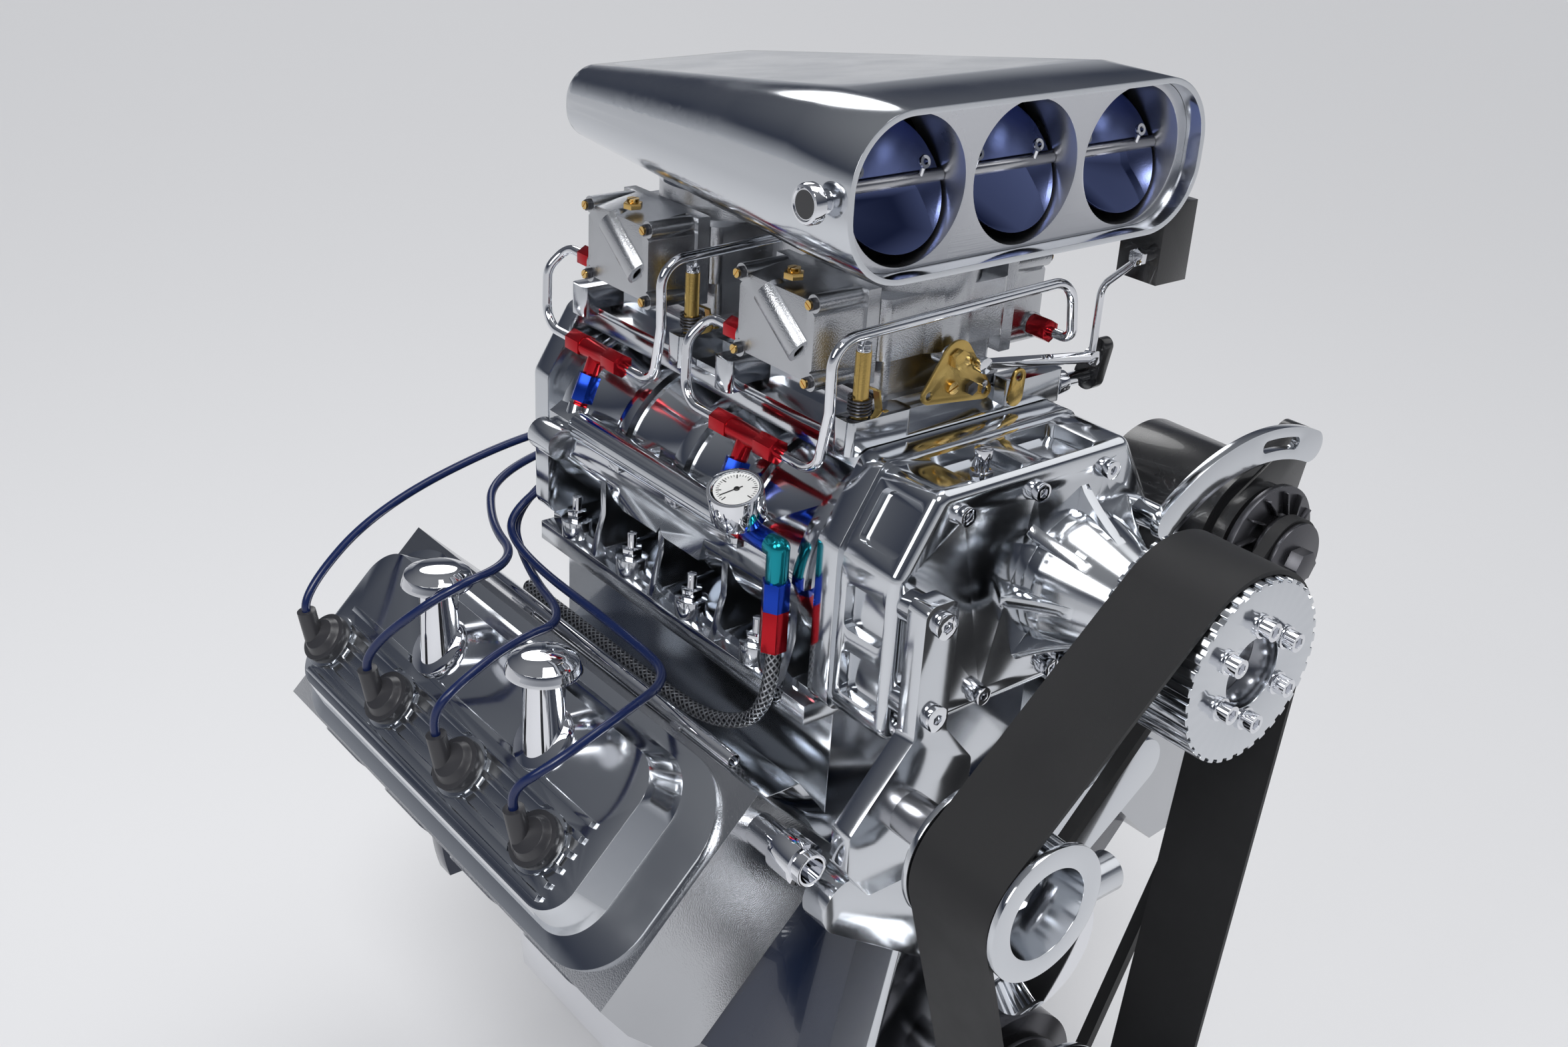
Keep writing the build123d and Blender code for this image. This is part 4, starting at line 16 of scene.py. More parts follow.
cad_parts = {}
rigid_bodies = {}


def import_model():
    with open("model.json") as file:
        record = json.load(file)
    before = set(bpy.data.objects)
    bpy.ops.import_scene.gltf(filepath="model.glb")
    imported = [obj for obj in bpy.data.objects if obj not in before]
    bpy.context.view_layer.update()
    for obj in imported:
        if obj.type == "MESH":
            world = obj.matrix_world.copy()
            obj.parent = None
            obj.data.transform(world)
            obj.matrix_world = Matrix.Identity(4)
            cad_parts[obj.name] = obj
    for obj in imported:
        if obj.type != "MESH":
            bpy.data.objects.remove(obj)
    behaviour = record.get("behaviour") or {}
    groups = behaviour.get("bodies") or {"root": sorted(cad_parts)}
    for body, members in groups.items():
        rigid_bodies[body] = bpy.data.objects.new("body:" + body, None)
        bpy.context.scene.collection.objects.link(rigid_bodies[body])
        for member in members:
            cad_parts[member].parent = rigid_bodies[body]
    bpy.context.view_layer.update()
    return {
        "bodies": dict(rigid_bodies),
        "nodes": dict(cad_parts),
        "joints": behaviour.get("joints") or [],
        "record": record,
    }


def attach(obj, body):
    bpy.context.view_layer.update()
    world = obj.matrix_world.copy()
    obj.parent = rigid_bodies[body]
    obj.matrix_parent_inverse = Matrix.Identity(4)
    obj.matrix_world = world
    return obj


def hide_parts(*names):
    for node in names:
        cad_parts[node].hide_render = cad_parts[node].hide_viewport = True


LOG = logging.getLogger("engine_looks")
MM = 0.001
Colour = tuple[float, float, float]
Point = tuple[float, float, float]
Profile = tuple[tuple[float, float], ...]
ScrewHead = tuple[float, float, float, float]
RIGHT, LEFT = -1, 1
UP, FORWARD = (0, 0, 1), (0, -1, 0)
CREASE_ANGLE = math.radians(32)
MERGE_REACH = 0.000002
CUT_REACH = 0.000001
HEXAGON = 6
ROUND_SIDES = 24
FINE_SIDES = 48


class Relief(Enum):
    """The fine texture that a finish carries."""

    SMOOTH = "smooth"
    CAST = "cast"
    BRUSHED = "brushed"
    WOVEN = "woven"


class Body(Enum):
    """The bodies of the frame that carry new pieces."""

    ENGINE = "engine"
    IDLER = "idler"
    ALTERNATOR = "alternator_spindle"


def new_group(name: str, inputs: dict[str, float], output: str) -> bpy.types.ShaderNodeTree:
    """Start a shader node group with float inputs and one float output.

    Args:
        name: The group's name.
        inputs: Each input's name and default value.
        output: The output's name.

    Returns:
        The group's node tree, with its input and output nodes in place.
    """
    tree = bpy.data.node_groups.new(name, "ShaderNodeTree")
    for label, value in inputs.items():
        socket = tree.interface.new_socket(
            name=label, in_out="INPUT", socket_type="NodeSocketFloat"
        )
        socket.default_value = value
    tree.interface.new_socket(name=output, in_out="OUTPUT", socket_type="NodeSocketFloat")
    tree.nodes.new("NodeGroupInput")
    tree.nodes.new("NodeGroupOutput")
    return tree


def math_step(
    tree: bpy.types.ShaderNodeTree, operation: str, *feeds: bpy.types.NodeSocket | float
) -> bpy.types.NodeSocket:
    """Add a math node.

    Args:
        tree: The node tree that takes it.
        operation: What the node works out.
        *feeds: What goes in, each a socket or a plain number.

    Returns:
        The node's result.
    """
    node = tree.nodes.new("ShaderNodeMath")
    node.operation = operation
    for socket, feed in zip(node.inputs, feeds):
        if isinstance(feed, bpy.types.NodeSocket):
            tree.links.new(feed, socket)
        else:
            socket.default_value = feed
    return node.outputs["Value"]


def noise_step(
    tree: bpy.types.ShaderNodeTree, detail: float, place: bpy.types.NodeSocket
) -> bpy.types.NodeSocket:
    """Add a noise node at the scale that the group is given.

    Args:
        tree: The group's node tree, which has a Scale input.
        detail: The number of finer layers.
        place: The coordinates of the noise.

    Returns:
        The noise's value.
    """
    noise = tree.nodes.new("ShaderNodeTexNoise")
    noise.inputs["Detail"].default_value = detail
    tree.links.new(place, noise.inputs["Vector"])
    tree.links.new(tree.nodes["Group Input"].outputs["Scale"], noise.inputs["Scale"])
    return noise.outputs["Fac"]


class SharedEffects:
    """Shader node groups that several finishes use."""

    smudge_detail: float = 5.0
    smudge_span: tuple[float, float] = (0.35, 0.65)
    cast_detail: float = 3.0
    brush_detail: float = 2.0

    def __init__(self) -> None:
        """Build every group once."""
        self.smudge = self._smudge()
        self.cast = self._cast()
        self.brush = self._brush()
        self.braid = self._braid()

    def _smudge(self) -> bpy.types.ShaderNodeTree:
        """Slow changes of gloss, as handled and wiped metal has."""
        tree = new_group("wiped_gloss", {"Scale": 14.0, "Low": 0.05, "High": 0.15}, "Roughness")
        source, sink = tree.nodes["Group Input"], tree.nodes["Group Output"]
        place = tree.nodes.new("ShaderNodeTexCoord").outputs["Object"]
        spread = tree.nodes.new("ShaderNodeMapRange")
        spread.inputs["From Min"].default_value = self.smudge_span[0]
        spread.inputs["From Max"].default_value = self.smudge_span[1]
        tree.links.new(noise_step(tree, self.smudge_detail, place), spread.inputs["Value"])
        tree.links.new(source.outputs["Low"], spread.inputs["To Min"])
        tree.links.new(source.outputs["High"], spread.inputs["To Max"])
        tree.links.new(spread.outputs["Result"], sink.inputs["Roughness"])
        return tree

    def _cast(self) -> bpy.types.ShaderNodeTree:
        """Fine grain of a sand or die casting."""
        tree = new_group("casting_grain", {"Scale": 900.0}, "Height")
        place = tree.nodes.new("ShaderNodeTexCoord").outputs["Object"]
        grain = noise_step(tree, self.cast_detail, place)
        tree.links.new(grain, tree.nodes["Group Output"].inputs["Height"])
        return tree

    def _brush(self) -> bpy.types.ShaderNodeTree:
        """Straight brush marks that run along X."""
        tree = new_group("brush_marks", {"Scale": 900.0, "Stretch": 0.03}, "Height")
        source, sink = tree.nodes["Group Input"], tree.nodes["Group Output"]
        place = tree.nodes.new("ShaderNodeTexCoord")
        split = tree.nodes.new("ShaderNodeSeparateXYZ")
        join = tree.nodes.new("ShaderNodeCombineXYZ")
        tree.links.new(place.outputs["Object"], split.inputs["Vector"])
        shrunk = math_step(tree, "MULTIPLY", split.outputs["X"], source.outputs["Stretch"])
        tree.links.new(shrunk, join.inputs["X"])
        tree.links.new(split.outputs["Y"], join.inputs["Y"])
        tree.links.new(split.outputs["Z"], join.inputs["Z"])
        marks = noise_step(tree, self.brush_detail, join.outputs["Vector"])
        tree.links.new(marks, sink.inputs["Height"])
        return tree

    def _braid(self) -> bpy.types.ShaderNodeTree:
        """Crossed strands over a tube's own UV map, which goes along it and once round."""
        tree = new_group("crossed_strands", {"Around": 7.0, "Along": 62.0}, "Height")
        source, sink = tree.nodes["Group Input"], tree.nodes["Group Output"]
        place = tree.nodes.new("ShaderNodeUVMap")
        split = tree.nodes.new("ShaderNodeSeparateXYZ")
        tree.links.new(place.outputs["UV"], split.inputs["Vector"])
        along = math_step(tree, "MULTIPLY", split.outputs["X"], source.outputs["Along"])
        around = math_step(tree, "MULTIPLY", split.outputs["Y"], source.outputs["Around"])
        waves = []
        for operation in ("ADD", "SUBTRACT"):
            slant = math_step(tree, operation, along, around)
            turn = math_step(tree, "MULTIPLY", slant, math.tau)
            waves.append(math_step(tree, "SINE", turn))
        tree.links.new(math_step(tree, "MAXIMUM", *waves), sink.inputs["Height"])
        return tree


@dataclass(frozen=True)
class Finish:
    """One surface finish of the engine.

    The gloss pair is the lowest and highest roughness, and grain is the relief's depth in metres.
    The strand gap shade is painted shade: a dark colour laid into the grooves between the strands
    of a woven relief.
    """

    name: str
    colour: Colour
    metallic: float
    gloss: tuple[float, float]
    relief: Relief = Relief.SMOOTH
    grain: float = 0.0
    scale: float = 900.0
    coat: float = 0.0
    coat_roughness: float = 0.04
    relief_strength: float = 0.6
    strand_gap_shade: Colour = (0.05, 0.05, 0.055)

    def build(self, effects: SharedEffects) -> bpy.types.Material:
        """Make the finish's material.

        Args:
            effects: The shared node groups.

        Returns:
            The new material.
        """
        material = bpy.data.materials.new(self.name)
        material.use_nodes = True
        tree = material.node_tree
        shader = tree.nodes["Principled BSDF"]
        shader.inputs["Base Color"].default_value = (*self.colour, 1.0)
        shader.inputs["Metallic"].default_value = self.metallic
        shader.inputs["Coat Weight"].default_value = self.coat
        shader.inputs["Coat Roughness"].default_value = self.coat_roughness
        smudge = tree.nodes.new("ShaderNodeGroup")
        smudge.node_tree = effects.smudge
        smudge.inputs["Low"].default_value = self.gloss[0]
        smudge.inputs["High"].default_value = self.gloss[1]
        tree.links.new(smudge.outputs["Roughness"], shader.inputs["Roughness"])
        if self.relief is not Relief.SMOOTH:
            self._add_relief(tree, shader, effects)
        return material

    def _add_relief(
        self, tree: bpy.types.NodeTree, shader: bpy.types.Node, effects: SharedEffects
    ) -> None:
        """Feed the relief's height through a bump into the shader, and paint shade into a woven
        one's grooves by it.

        Args:
            tree: The material's node tree.
            shader: The material's shader.
            effects: The shared node groups.
        """
        group = tree.nodes.new("ShaderNodeGroup")
        group.node_tree = {
            Relief.CAST: effects.cast,
            Relief.BRUSHED: effects.brush,
            Relief.WOVEN: effects.braid,
        }[self.relief]
        if "Scale" in group.inputs:
            group.inputs["Scale"].default_value = self.scale
        bump = tree.nodes.new("ShaderNodeBump")
        bump.inputs["Distance"].default_value = self.grain
        bump.inputs["Strength"].default_value = self.relief_strength
        tree.links.new(group.outputs["Height"], bump.inputs["Height"])
        if self.relief is Relief.WOVEN:
            # Painted shade: the braid's low grooves take the dark gap colour, mixed in by the
            # strands' height.
            strands = tree.nodes.new("ShaderNodeMix")
            strands.data_type = "RGBA"
            strands.inputs["A"].default_value = (*self.strand_gap_shade, 1.0)
            strands.inputs["B"].default_value = (*self.colour, 1.0)
            tree.links.new(group.outputs["Height"], strands.inputs["Factor"])
            tree.links.new(strands.outputs["Result"], shader.inputs["Base Color"])
        tree.links.new(bump.outputs["Normal"], shader.inputs["Normal"])


FINISHES = (
    # name, colour, metallic, gloss, relief, its depth and scale, coat
    Finish("polished_aluminium", (0.64, 0.66, 0.69), 1.0, (0.09, 0.16)),
    Finish("brushed_aluminium", (0.60, 0.61, 0.64), 1.0, (0.24, 0.32), Relief.BRUSHED, 0.0001),
    Finish("cast_aluminium", (0.50, 0.51, 0.53), 1.0, (0.17, 0.27), Relief.CAST, 0.0003),
    Finish("chrome", (0.78, 0.79, 0.82), 1.0, (0.02, 0.05)),
    Finish("machined_steel", (0.50, 0.50, 0.52), 1.0, (0.18, 0.28)),
    Finish("dark_steel", (0.10, 0.10, 0.11), 0.9, (0.25, 0.38)),
    Finish("belt_rubber", (0.010, 0.010, 0.011), 0.0, (0.50, 0.62), Relief.CAST, 0.0001, 1500.0),
    Finish("boot_rubber", (0.030, 0.030, 0.034), 0.0, (0.28, 0.38), Relief.CAST, 0.0001, 1200.0),
    Finish("wire_silicone", (0.004, 0.013, 0.070), 0.0, (0.22, 0.30)),
    Finish("block_enamel", (0.010, 0.018, 0.045), 0.0, (0.20, 0.30), coat=0.5),
    Finish(
        "black_enamel", (0.012, 0.012, 0.013), 0.0, (0.22, 0.34), Relief.CAST, 0.0001, 700.0, 0.3
    ),
    Finish("cap_plastic", (0.012, 0.012, 0.014), 0.0, (0.12, 0.2), coat=0.4),
    Finish("blade_mirror", (0.17, 0.21, 0.42), 1.0, (0.03, 0.07)),
    Finish("gold_zinc", (0.62, 0.43, 0.14), 1.0, (0.22, 0.34), Relief.CAST, 0.0001, 600.0),
    Finish("brass", (0.74, 0.50, 0.18), 1.0, (0.14, 0.22)),
    Finish("fitting_blue", (0.01, 0.05, 0.42), 0.85, (0.14, 0.22)),
    Finish("fitting_teal", (0.01, 0.27, 0.33), 0.85, (0.14, 0.22)),
    Finish("fitting_red", (0.46, 0.010, 0.018), 0.85, (0.14, 0.22)),
    Finish("braided_steel", (0.50, 0.51, 0.53), 1.0, (0.24, 0.34), Relief.WOVEN, 0.0009),
    Finish("dial_white", (0.86, 0.86, 0.84), 0.0, (0.3, 0.4)),
    Finish("ink_black", (0.01, 0.01, 0.01), 0.0, (0.4, 0.5)),
)


class Palette:
    """Every finish as a material, found by name."""

    def __init__(self) -> None:
        """Build the shared effects and all materials."""
        effects = SharedEffects()
        self._materials = {finish.name: finish.build(effects) for finish in FINISHES}

    def __getitem__(self, name: str) -> bpy.types.Material:
        """The material of that finish."""
        return self._materials[name]


@dataclass
class FrameDresser:
    """Gives each CAD node its finish and soft edges, with sizes in metres."""

    palette: Palette
    frame: dict
    weld_reach: float = 0.01 * MM
    edge_width: float = 0.7 * MM
    edge_steps: int = 2
    edge_angle: float = math.radians(38)
    sharp_nodes: tuple[str, ...] = ("blower_belt", "drive_belt")
    shaft_line: tuple[float, float] = (-0.513, 0.7915)
    shaft_radius: float = 5.2 * MM
    hexagon_start: float = 119.5 * MM
    cast_edge: float = 2.2 * MM
    cast_steps: int = 3
    cast_nodes: tuple[str, ...] = (
        "carb_front_bowls",
        "carb_rear_bowls",
        "carb_front_body",
        "carb_rear_body",
    )

    def dress(self) -> None:
        """Dress every CAD node by the material slot that its record names."""
        slots = {part["node"]: part["material_slot"] for part in self.frame["record"]["subparts"]}
        for node, piece in self.frame["nodes"].items():
            self._finish(piece, self.palette[slots[node]])
            self._soften(node, piece)
            self._pick_out(node, piece)
            LOG.info("dressed %s in %s", node, slots[node])

    def _finish(self, piece: bpy.types.Object, material: bpy.types.Material) -> None:
        """Put one material on the whole piece.

        Args:
            piece: The CAD node's object.
            material: Its finish.
        """
        piece.data.materials.clear()
        piece.data.materials.append(material)
        piece.data.polygons.foreach_set("use_smooth", [True] * len(piece.data.polygons))

    def _pick_out(self, node: str, piece: bpy.types.Object) -> None:
        """Give the butterfly shaft and the bowls' hexagons a finish of their own.

        Args:
            node: The node's name.
            piece: Its object.
        """
        if node not in ("scoop_butterflies", "carb_linkage"):
            return
        shaft = node == "scoop_butterflies"
        piece.data.materials.append(self.palette["machined_steel" if shaft else "dark_steel"])
        for polygon in piece.data.polygons:
            centre = polygon.center
            if shaft:
                apart = math.hypot(centre.y - self.shaft_line[0], centre.z - self.shaft_line[1])
                own = apart < self.shaft_radius
            else:
                own = abs(centre.x) > self.hexagon_start
            polygon.material_index = 1 if own else 0

    def _soften(self, node: str, piece: bpy.types.Object) -> None:
        """Join the loose triangles, round the edges a little and keep them crisp.

        Args:
            node: The node's name.
            piece: Its object.
        """
        weld = piece.modifiers.new("weld", "WELD")
        weld.merge_threshold = self.weld_reach
        if node not in self.sharp_nodes:
            cast = node in self.cast_nodes
            bevel = piece.modifiers.new("edges", "BEVEL")
            bevel.width = self.cast_edge if cast else self.edge_width
            bevel.segments = self.cast_steps if cast else self.edge_steps
            bevel.limit_method = "ANGLE"
            bevel.angle_limit = self.edge_angle
            bevel.use_clamp_overlap = True
            bevel.harden_normals = False
        split = piece.modifiers.new("crisp", "EDGE_SPLIT")
        split.split_angle = CREASE_ANGLE


def mm(x: float, y: float, z: float) -> Vector:
    """A place of the engine's frame given in millimetres."""
    return Vector((x, y, z)) * MM


def aimed(place: Vector, way: Iterable[float], turn: float = 0.0) -> Matrix:
    """Where a bit made along Z goes.

    Args:
        place: The place of the bit's foot.
        way: The direction of the bit's own Z.
        turn: A turn round the bit's own Z in degrees.

    Returns:
        The matrix that puts the bit there.
    """
    lean = Vector(way).to_track_quat("Z", "Y").to_matrix().to_4x4()
    return Matrix.Translation(place) @ lean @ Matrix.Rotation(math.radians(turn), 4, "Z")


def chain(shape: bmesh.types.BMesh, points: Sequence[Vector]) -> None:
    """Draw one open line of edges through the points, each drawn on from the last.

    Args:
        shape: The mesh that takes the line.
        points: The places in metres.
    """
    tip = bmesh.ops.create_vert(shape, co=points[0])["vert"][0]
    for here, there in zip(points, points[1:]):
        tip = bmesh.ops.extrude_vert_indiv(shape, verts=[tip])["verts"][0]
        bmesh.ops.translate(shape, verts=[tip], vec=there - here)


def turned(profile: Sequence[tuple[float, float]], steps: int = ROUND_SIDES) -> bmesh.types.BMesh:
    """Turn a profile round Z, as on a lathe.

    Args:
        profile: Radius and height pairs in millimetres.
        steps: Facets round the axis.

    Returns:
        The turned shape.
    """
    shape = bmesh.new()
    chain(shape, [mm(radius, 0, height) for radius, height in profile])
    bmesh.ops.spin(
        shape,
        geom=shape.verts[:] + shape.edges[:],
        cent=(0, 0, 0),
        axis=UP,
        dvec=(0, 0, 0),
        angle=math.tau,
        steps=steps,
        use_merge=True,
        use_duplicate=False,
    )
    bmesh.ops.remove_doubles(shape, verts=shape.verts, dist=MERGE_REACH)
    bmesh.ops.dissolve_degenerate(shape, edges=shape.edges, dist=MERGE_REACH)
    return shape


def round_off(shape: bmesh.types.BMesh, edges: list[bmesh.types.BMEdge], width: float) -> None:
    """Round off some edges of a shape.

    Args:
        shape: The shape.
        edges: The edges to round off.
        width: The rounding's width in millimetres.
    """
    bmesh.ops.bevel(
        shape, geom=edges, offset=width * MM, affect="EDGES", segments=2, profile=0.5, material=-1
    )


def prism(sides: int, radius: float, height: float, chamfer: float = 0.0) -> bmesh.types.BMesh:
    """An upright prism on the origin with its top edge taken off.

    Args:
        sides: Number of sides.
        radius: Radius to a corner in millimetres.
        height: Height in millimetres.
        chamfer: Width of the top edge's chamfer in millimetres.

    Returns:
        The prism.
    """
    shape = bmesh.new()
    bmesh.ops.create_cone(
        shape,
        cap_ends=True,
        segments=sides,
        radius1=radius * MM,
        radius2=radius * MM,
        depth=height * MM,
    )
    bmesh.ops.translate(shape, verts=shape.verts, vec=mm(0, 0, height / 2))
    if chamfer:
        middle = height * MM / 2
        top = [edge for edge in shape.edges if all(vert.co.z > middle for vert in edge.verts)]
        round_off(shape, top, chamfer)
    return shape


def slotted(radius: float, height: float, slot: float, depth: float) -> bmesh.types.BMesh:
    """A round screw head with a driver slot across it.

    Args:
        radius: The head's radius in millimetres.
        height: The head's height in millimetres.
        slot: The slot's width in millimetres.
        depth: The slot's depth in millimetres.

    Returns:
        The head.
    """
    shape = prism(ROUND_SIDES, radius, height - depth)
    for side in (RIGHT, LEFT):
        bmesh.ops.bisect_plane(
            shape,
            geom=shape.verts[:] + shape.edges[:] + shape.faces[:],
            plane_co=mm(0, side * slot / 2, 0),
            plane_no=(0, 1, 0),
            dist=CUT_REACH,
        )
    shape.normal_update()
    level = math.cos(CREASE_ANGLE)
    halves = [
        face
        for face in shape.faces
        if face.normal.z > level and abs(face.calc_center_median().y) > slot * MM / 2
    ]
    raised = bmesh.ops.extrude_face_region(shape, geom=halves)["geom"]
    tops = [vert for vert in raised if isinstance(vert, bmesh.types.BMVert)]
    bmesh.ops.translate(shape, verts=tops, vec=mm(0, 0, depth))
    return shape


def coil(
    radius: float, wire: float, turns: int, height: float, sides: int = 8, turn_steps: int = 18
) -> bmesh.types.BMesh:
    """A wire spring that stands on the origin.

    Args:
        radius: Radius of the coil in millimetres.
        wire: Radius of the wire in millimetres.
        turns: Number of turns.
        height: The spring's height in millimetres.
        sides: Facets round the wire.
        turn_steps: Facets along each turn.

    Returns:
        The spring.
    """
    shape = bmesh.new()
    stand = Matrix.Rotation(math.pi / 2, 3, "X")
    bmesh.ops.create_circle(shape, cap_ends=True, segments=sides, radius=wire * MM)
    bmesh.ops.rotate(shape, verts=shape.verts, cent=(0, 0, 0), matrix=stand)
    bmesh.ops.translate(shape, verts=shape.verts, vec=mm(radius, 0, wire))
    steps = turns * turn_steps
    bmesh.ops.spin(
        shape,
        geom=shape.verts[:] + shape.edges[:] + shape.faces[:],
        cent=(0, 0, 0),
        axis=UP,
        dvec=mm(0, 0, (height - 2 * wire) / steps),
        angle=math.tau * turns,
        steps=steps,
        use_merge=False,
        use_duplicate=False,
    )
    return shape


def strap(points: Sequence[Vector], across: Vector, thickness: float) -> bmesh.types.BMesh:
    """A bent flat strap along the points.

    Args:
        points: The strap's line in metres.
        across: Its width as a vector in metres.
        thickness: Its thickness in millimetres.

    Returns:
        The strap.
    """
    shape = bmesh.new()
    chain(shape, points)
    wall = bmesh.ops.extrude_edge_only(shape, edges=shape.edges[:])["geom"]
    far = [vert for vert in wall if isinstance(vert, bmesh.types.BMVert)]
    bmesh.ops.translate(shape, verts=far, vec=across)
    bmesh.ops.recalc_face_normals(shape, faces=shape.faces)
    bmesh.ops.solidify(shape, geom=shape.faces[:], thickness=thickness * MM)
    return shape


def block(length: float, width: float, height: float, edge: float = 0.0) -> bmesh.types.BMesh:
    """A bar centred on the origin, with its edges rounded.

    Args:
        length: Size along X in millimetres.
        width: Size along Y in millimetres.
        height: Size along Z in millimetres.
        edge: Width of the rounding in millimetres.

    Returns:
        The bar.
    """
    shape = bmesh.new()
    bmesh.ops.create_cube(shape, size=1.0)
    bmesh.ops.scale(shape, verts=shape.verts, vec=mm(length, width, height))
    if edge:
        round_off(shape, shape.edges[:], edge)
    return shape


def nurbs_line(
    name: str,
    routes: Iterable[Sequence[Vector]],
    radius: float,
    steps: int = 14,
    roundness: int = 5,
) -> bpy.types.Curve:
    """Smooth curves with the given control points, as thick as the radius.

    Args:
        name: The curve's name.
        routes: The control points of each curve in metres.
        radius: The thickness radius in millimetres, or 0 for a bare line.
        steps: Facets between two control points.
        roundness: Fineness of the round section.

    Returns:
        The curve data.
    """
    curve = bpy.data.curves.new(name, "CURVE")
    curve.dimensions = "3D"
    curve.resolution_u = steps
    curve.bevel_depth = radius * MM
    curve.bevel_resolution = roundness
    curve.use_fill_caps = True
    for route in routes:
        spline = curve.splines.new("NURBS")
        spline.points.add(len(route) - 1)
        for point, place in zip(spline.points, route):
            point.co = (*place, 1.0)
        spline.order_u = 3
        spline.use_endpoint_u = True
    return curve


class Workpiece:
    """One new piece, gathered from placed bits that each have a finish."""

    def __init__(self, name: str, body: Body = Body.ENGINE, slot: str = "") -> None:
        """Start an empty piece.

        Args:
            name: The piece's name.
            body: The body that carries it.
            slot: The record's material slot of its main finish, if it has one; it is not used.
        """
        self.name = name
        self.body = body
        self.slot = slot
        self.shape = bmesh.new()
        self.finishes: list[str] = []

    def join(self, bit: bmesh.types.BMesh, finish: str, place: Matrix) -> None:
        """Put one bit in its place and add it to the piece.

        Args:
            bit: The bit, which is used up.
            finish: The name of its finish.
            place: Where it goes.
        """
        if finish not in self.finishes:
            self.finishes.append(finish)
        bmesh.ops.recalc_face_normals(bit, faces=bit.faces)
        bmesh.ops.transform(bit, matrix=place, verts=bit.verts)
        for face in bit.faces:
            face.material_index = self.finishes.index(finish)
            face.smooth = True
        carrier = bpy.data.meshes.new("carrier")
        bit.to_mesh(carrier)
        bit.free()
        self.shape.from_mesh(carrier)
        bpy.data.meshes.remove(carrier)

    def build(self, palette: Palette) -> None:
        """Turn the gathered bits into an object that rides on its body.

        Args:
            palette: The finishes.
        """
        mesh = bpy.data.meshes.new(self.name)
        self.shape.to_mesh(mesh)
        self.shape.free()
        for finish in self.finishes:
            mesh.materials.append(palette[finish])
        mesh.set_sharp_from_angle(angle=CREASE_ANGLE)
        piece = bpy.data.objects.new(self.name, mesh)
        bpy.context.collection.objects.link(piece)
        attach(piece, self.body.value)
        LOG.info("built %s on %s", self.name, self.body.value)


@dataclass
class PlugWires:
    """The eight plug wires, from the boots to the distributor's posts.

    Each cylinder's way has two rows of points, written for the right bank and mirrored for the
    left one. The first row moves with the bank's set-back, and the second row doesn't. Seat is
    the X and Z of a boot, and its neck's end and the lead out of the neck count from there on.
    """

    palette: Palette
    radius: float = 4.0
    seat: tuple[float, float] = (328.0, 284.0)
    first_bore: float = -420.0
    bore_pitch: float = 122.0
    stagger: float = 25.0
    neck: Point = (15.5, 10.0, 31.0)
    neck_lead: Point = (2.95, 0.9, 17.7)
    post_circle: float = 22.0
    post_middle: tuple[float, float] = (-45.0, 394.0)
    post_lead: float = 30.0
    post_step: float = 45.0
    ways: tuple[tuple[tuple[Point, ...], tuple[Point, ...]], ...] = (
        (
            ((-325, -432, 358), (-256, -427, 378), (-188, -392, 368), (-172, -330, 362)),
            ((-172, -110, 362), (-150, -84, 392)),
        ),
        (
            ((-330, -293, 356), (-262, -274, 370), (-200, -258, 362)),
            ((-168, -140, 346), (-146, -64, 376)),
        ),
        (
            ((-302, -226, 404), (-222, -215, 408)),
            ((-196, -120, 396), (-150, -42, 404)),
        ),
        (
            ((-255, -14, 385),),
            ((-100, -14, 424),),
        ),
    )

    def route(self, side: int, index: int) -> list[Vector]:
        """The control points of one wire.

        Args:
            side: The bank, -1 for the right one and 1 for the left one.
            index: The cylinder, counted from the front.

        Returns:
            The points in metres.
        """
        back = self.stagger if side == LEFT else 0.0
        bore = self.first_bore + index * self.bore_pitch - back
        foot = (side * (self.seat[0] + self.neck[0]), bore + self.neck[1])
        top = mm(*foot, self.seat[1] + self.neck[2])
        lead = mm(side * self.neck_lead[0], self.neck_lead[1], self.neck_lead[2])
        outer, inner = self.ways[index]
        middle = [mm(-side * x, y - back, z) for x, y, z in outer]
        middle += [mm(-side * x, y, z) for x, y, z in inner]
        angle = math.radians(90 - side * (180 - (index + 0.5) * self.post_step))
        post = mm(
            self.post_circle * math.cos(angle),
            self.post_middle[0] + self.post_circle * math.sin(angle),
            self.post_middle[1],
        )
        return [top, top + lead, *middle, post + mm(0, 0, self.post_lead), post]

    def build(self) -> None:
        """Make one piece for each bank's four wires."""
        for side, hand in ((RIGHT, "right"), (LEFT, "left")):
            name = f"wires_{hand}"
            routes = [self.route(side, index) for index in range(len(self.ways))]
            curve = nurbs_line(name, routes, self.radius)
            curve.materials.append(self.palette["wire_silicone"])
            wires = bpy.data.objects.new(name, curve)
            bpy.context.collection.objects.link(wires)
            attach(wires, Body.ENGINE.value)
            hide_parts(f"plug_wires_{hand}")
            LOG.info("built %s", name)


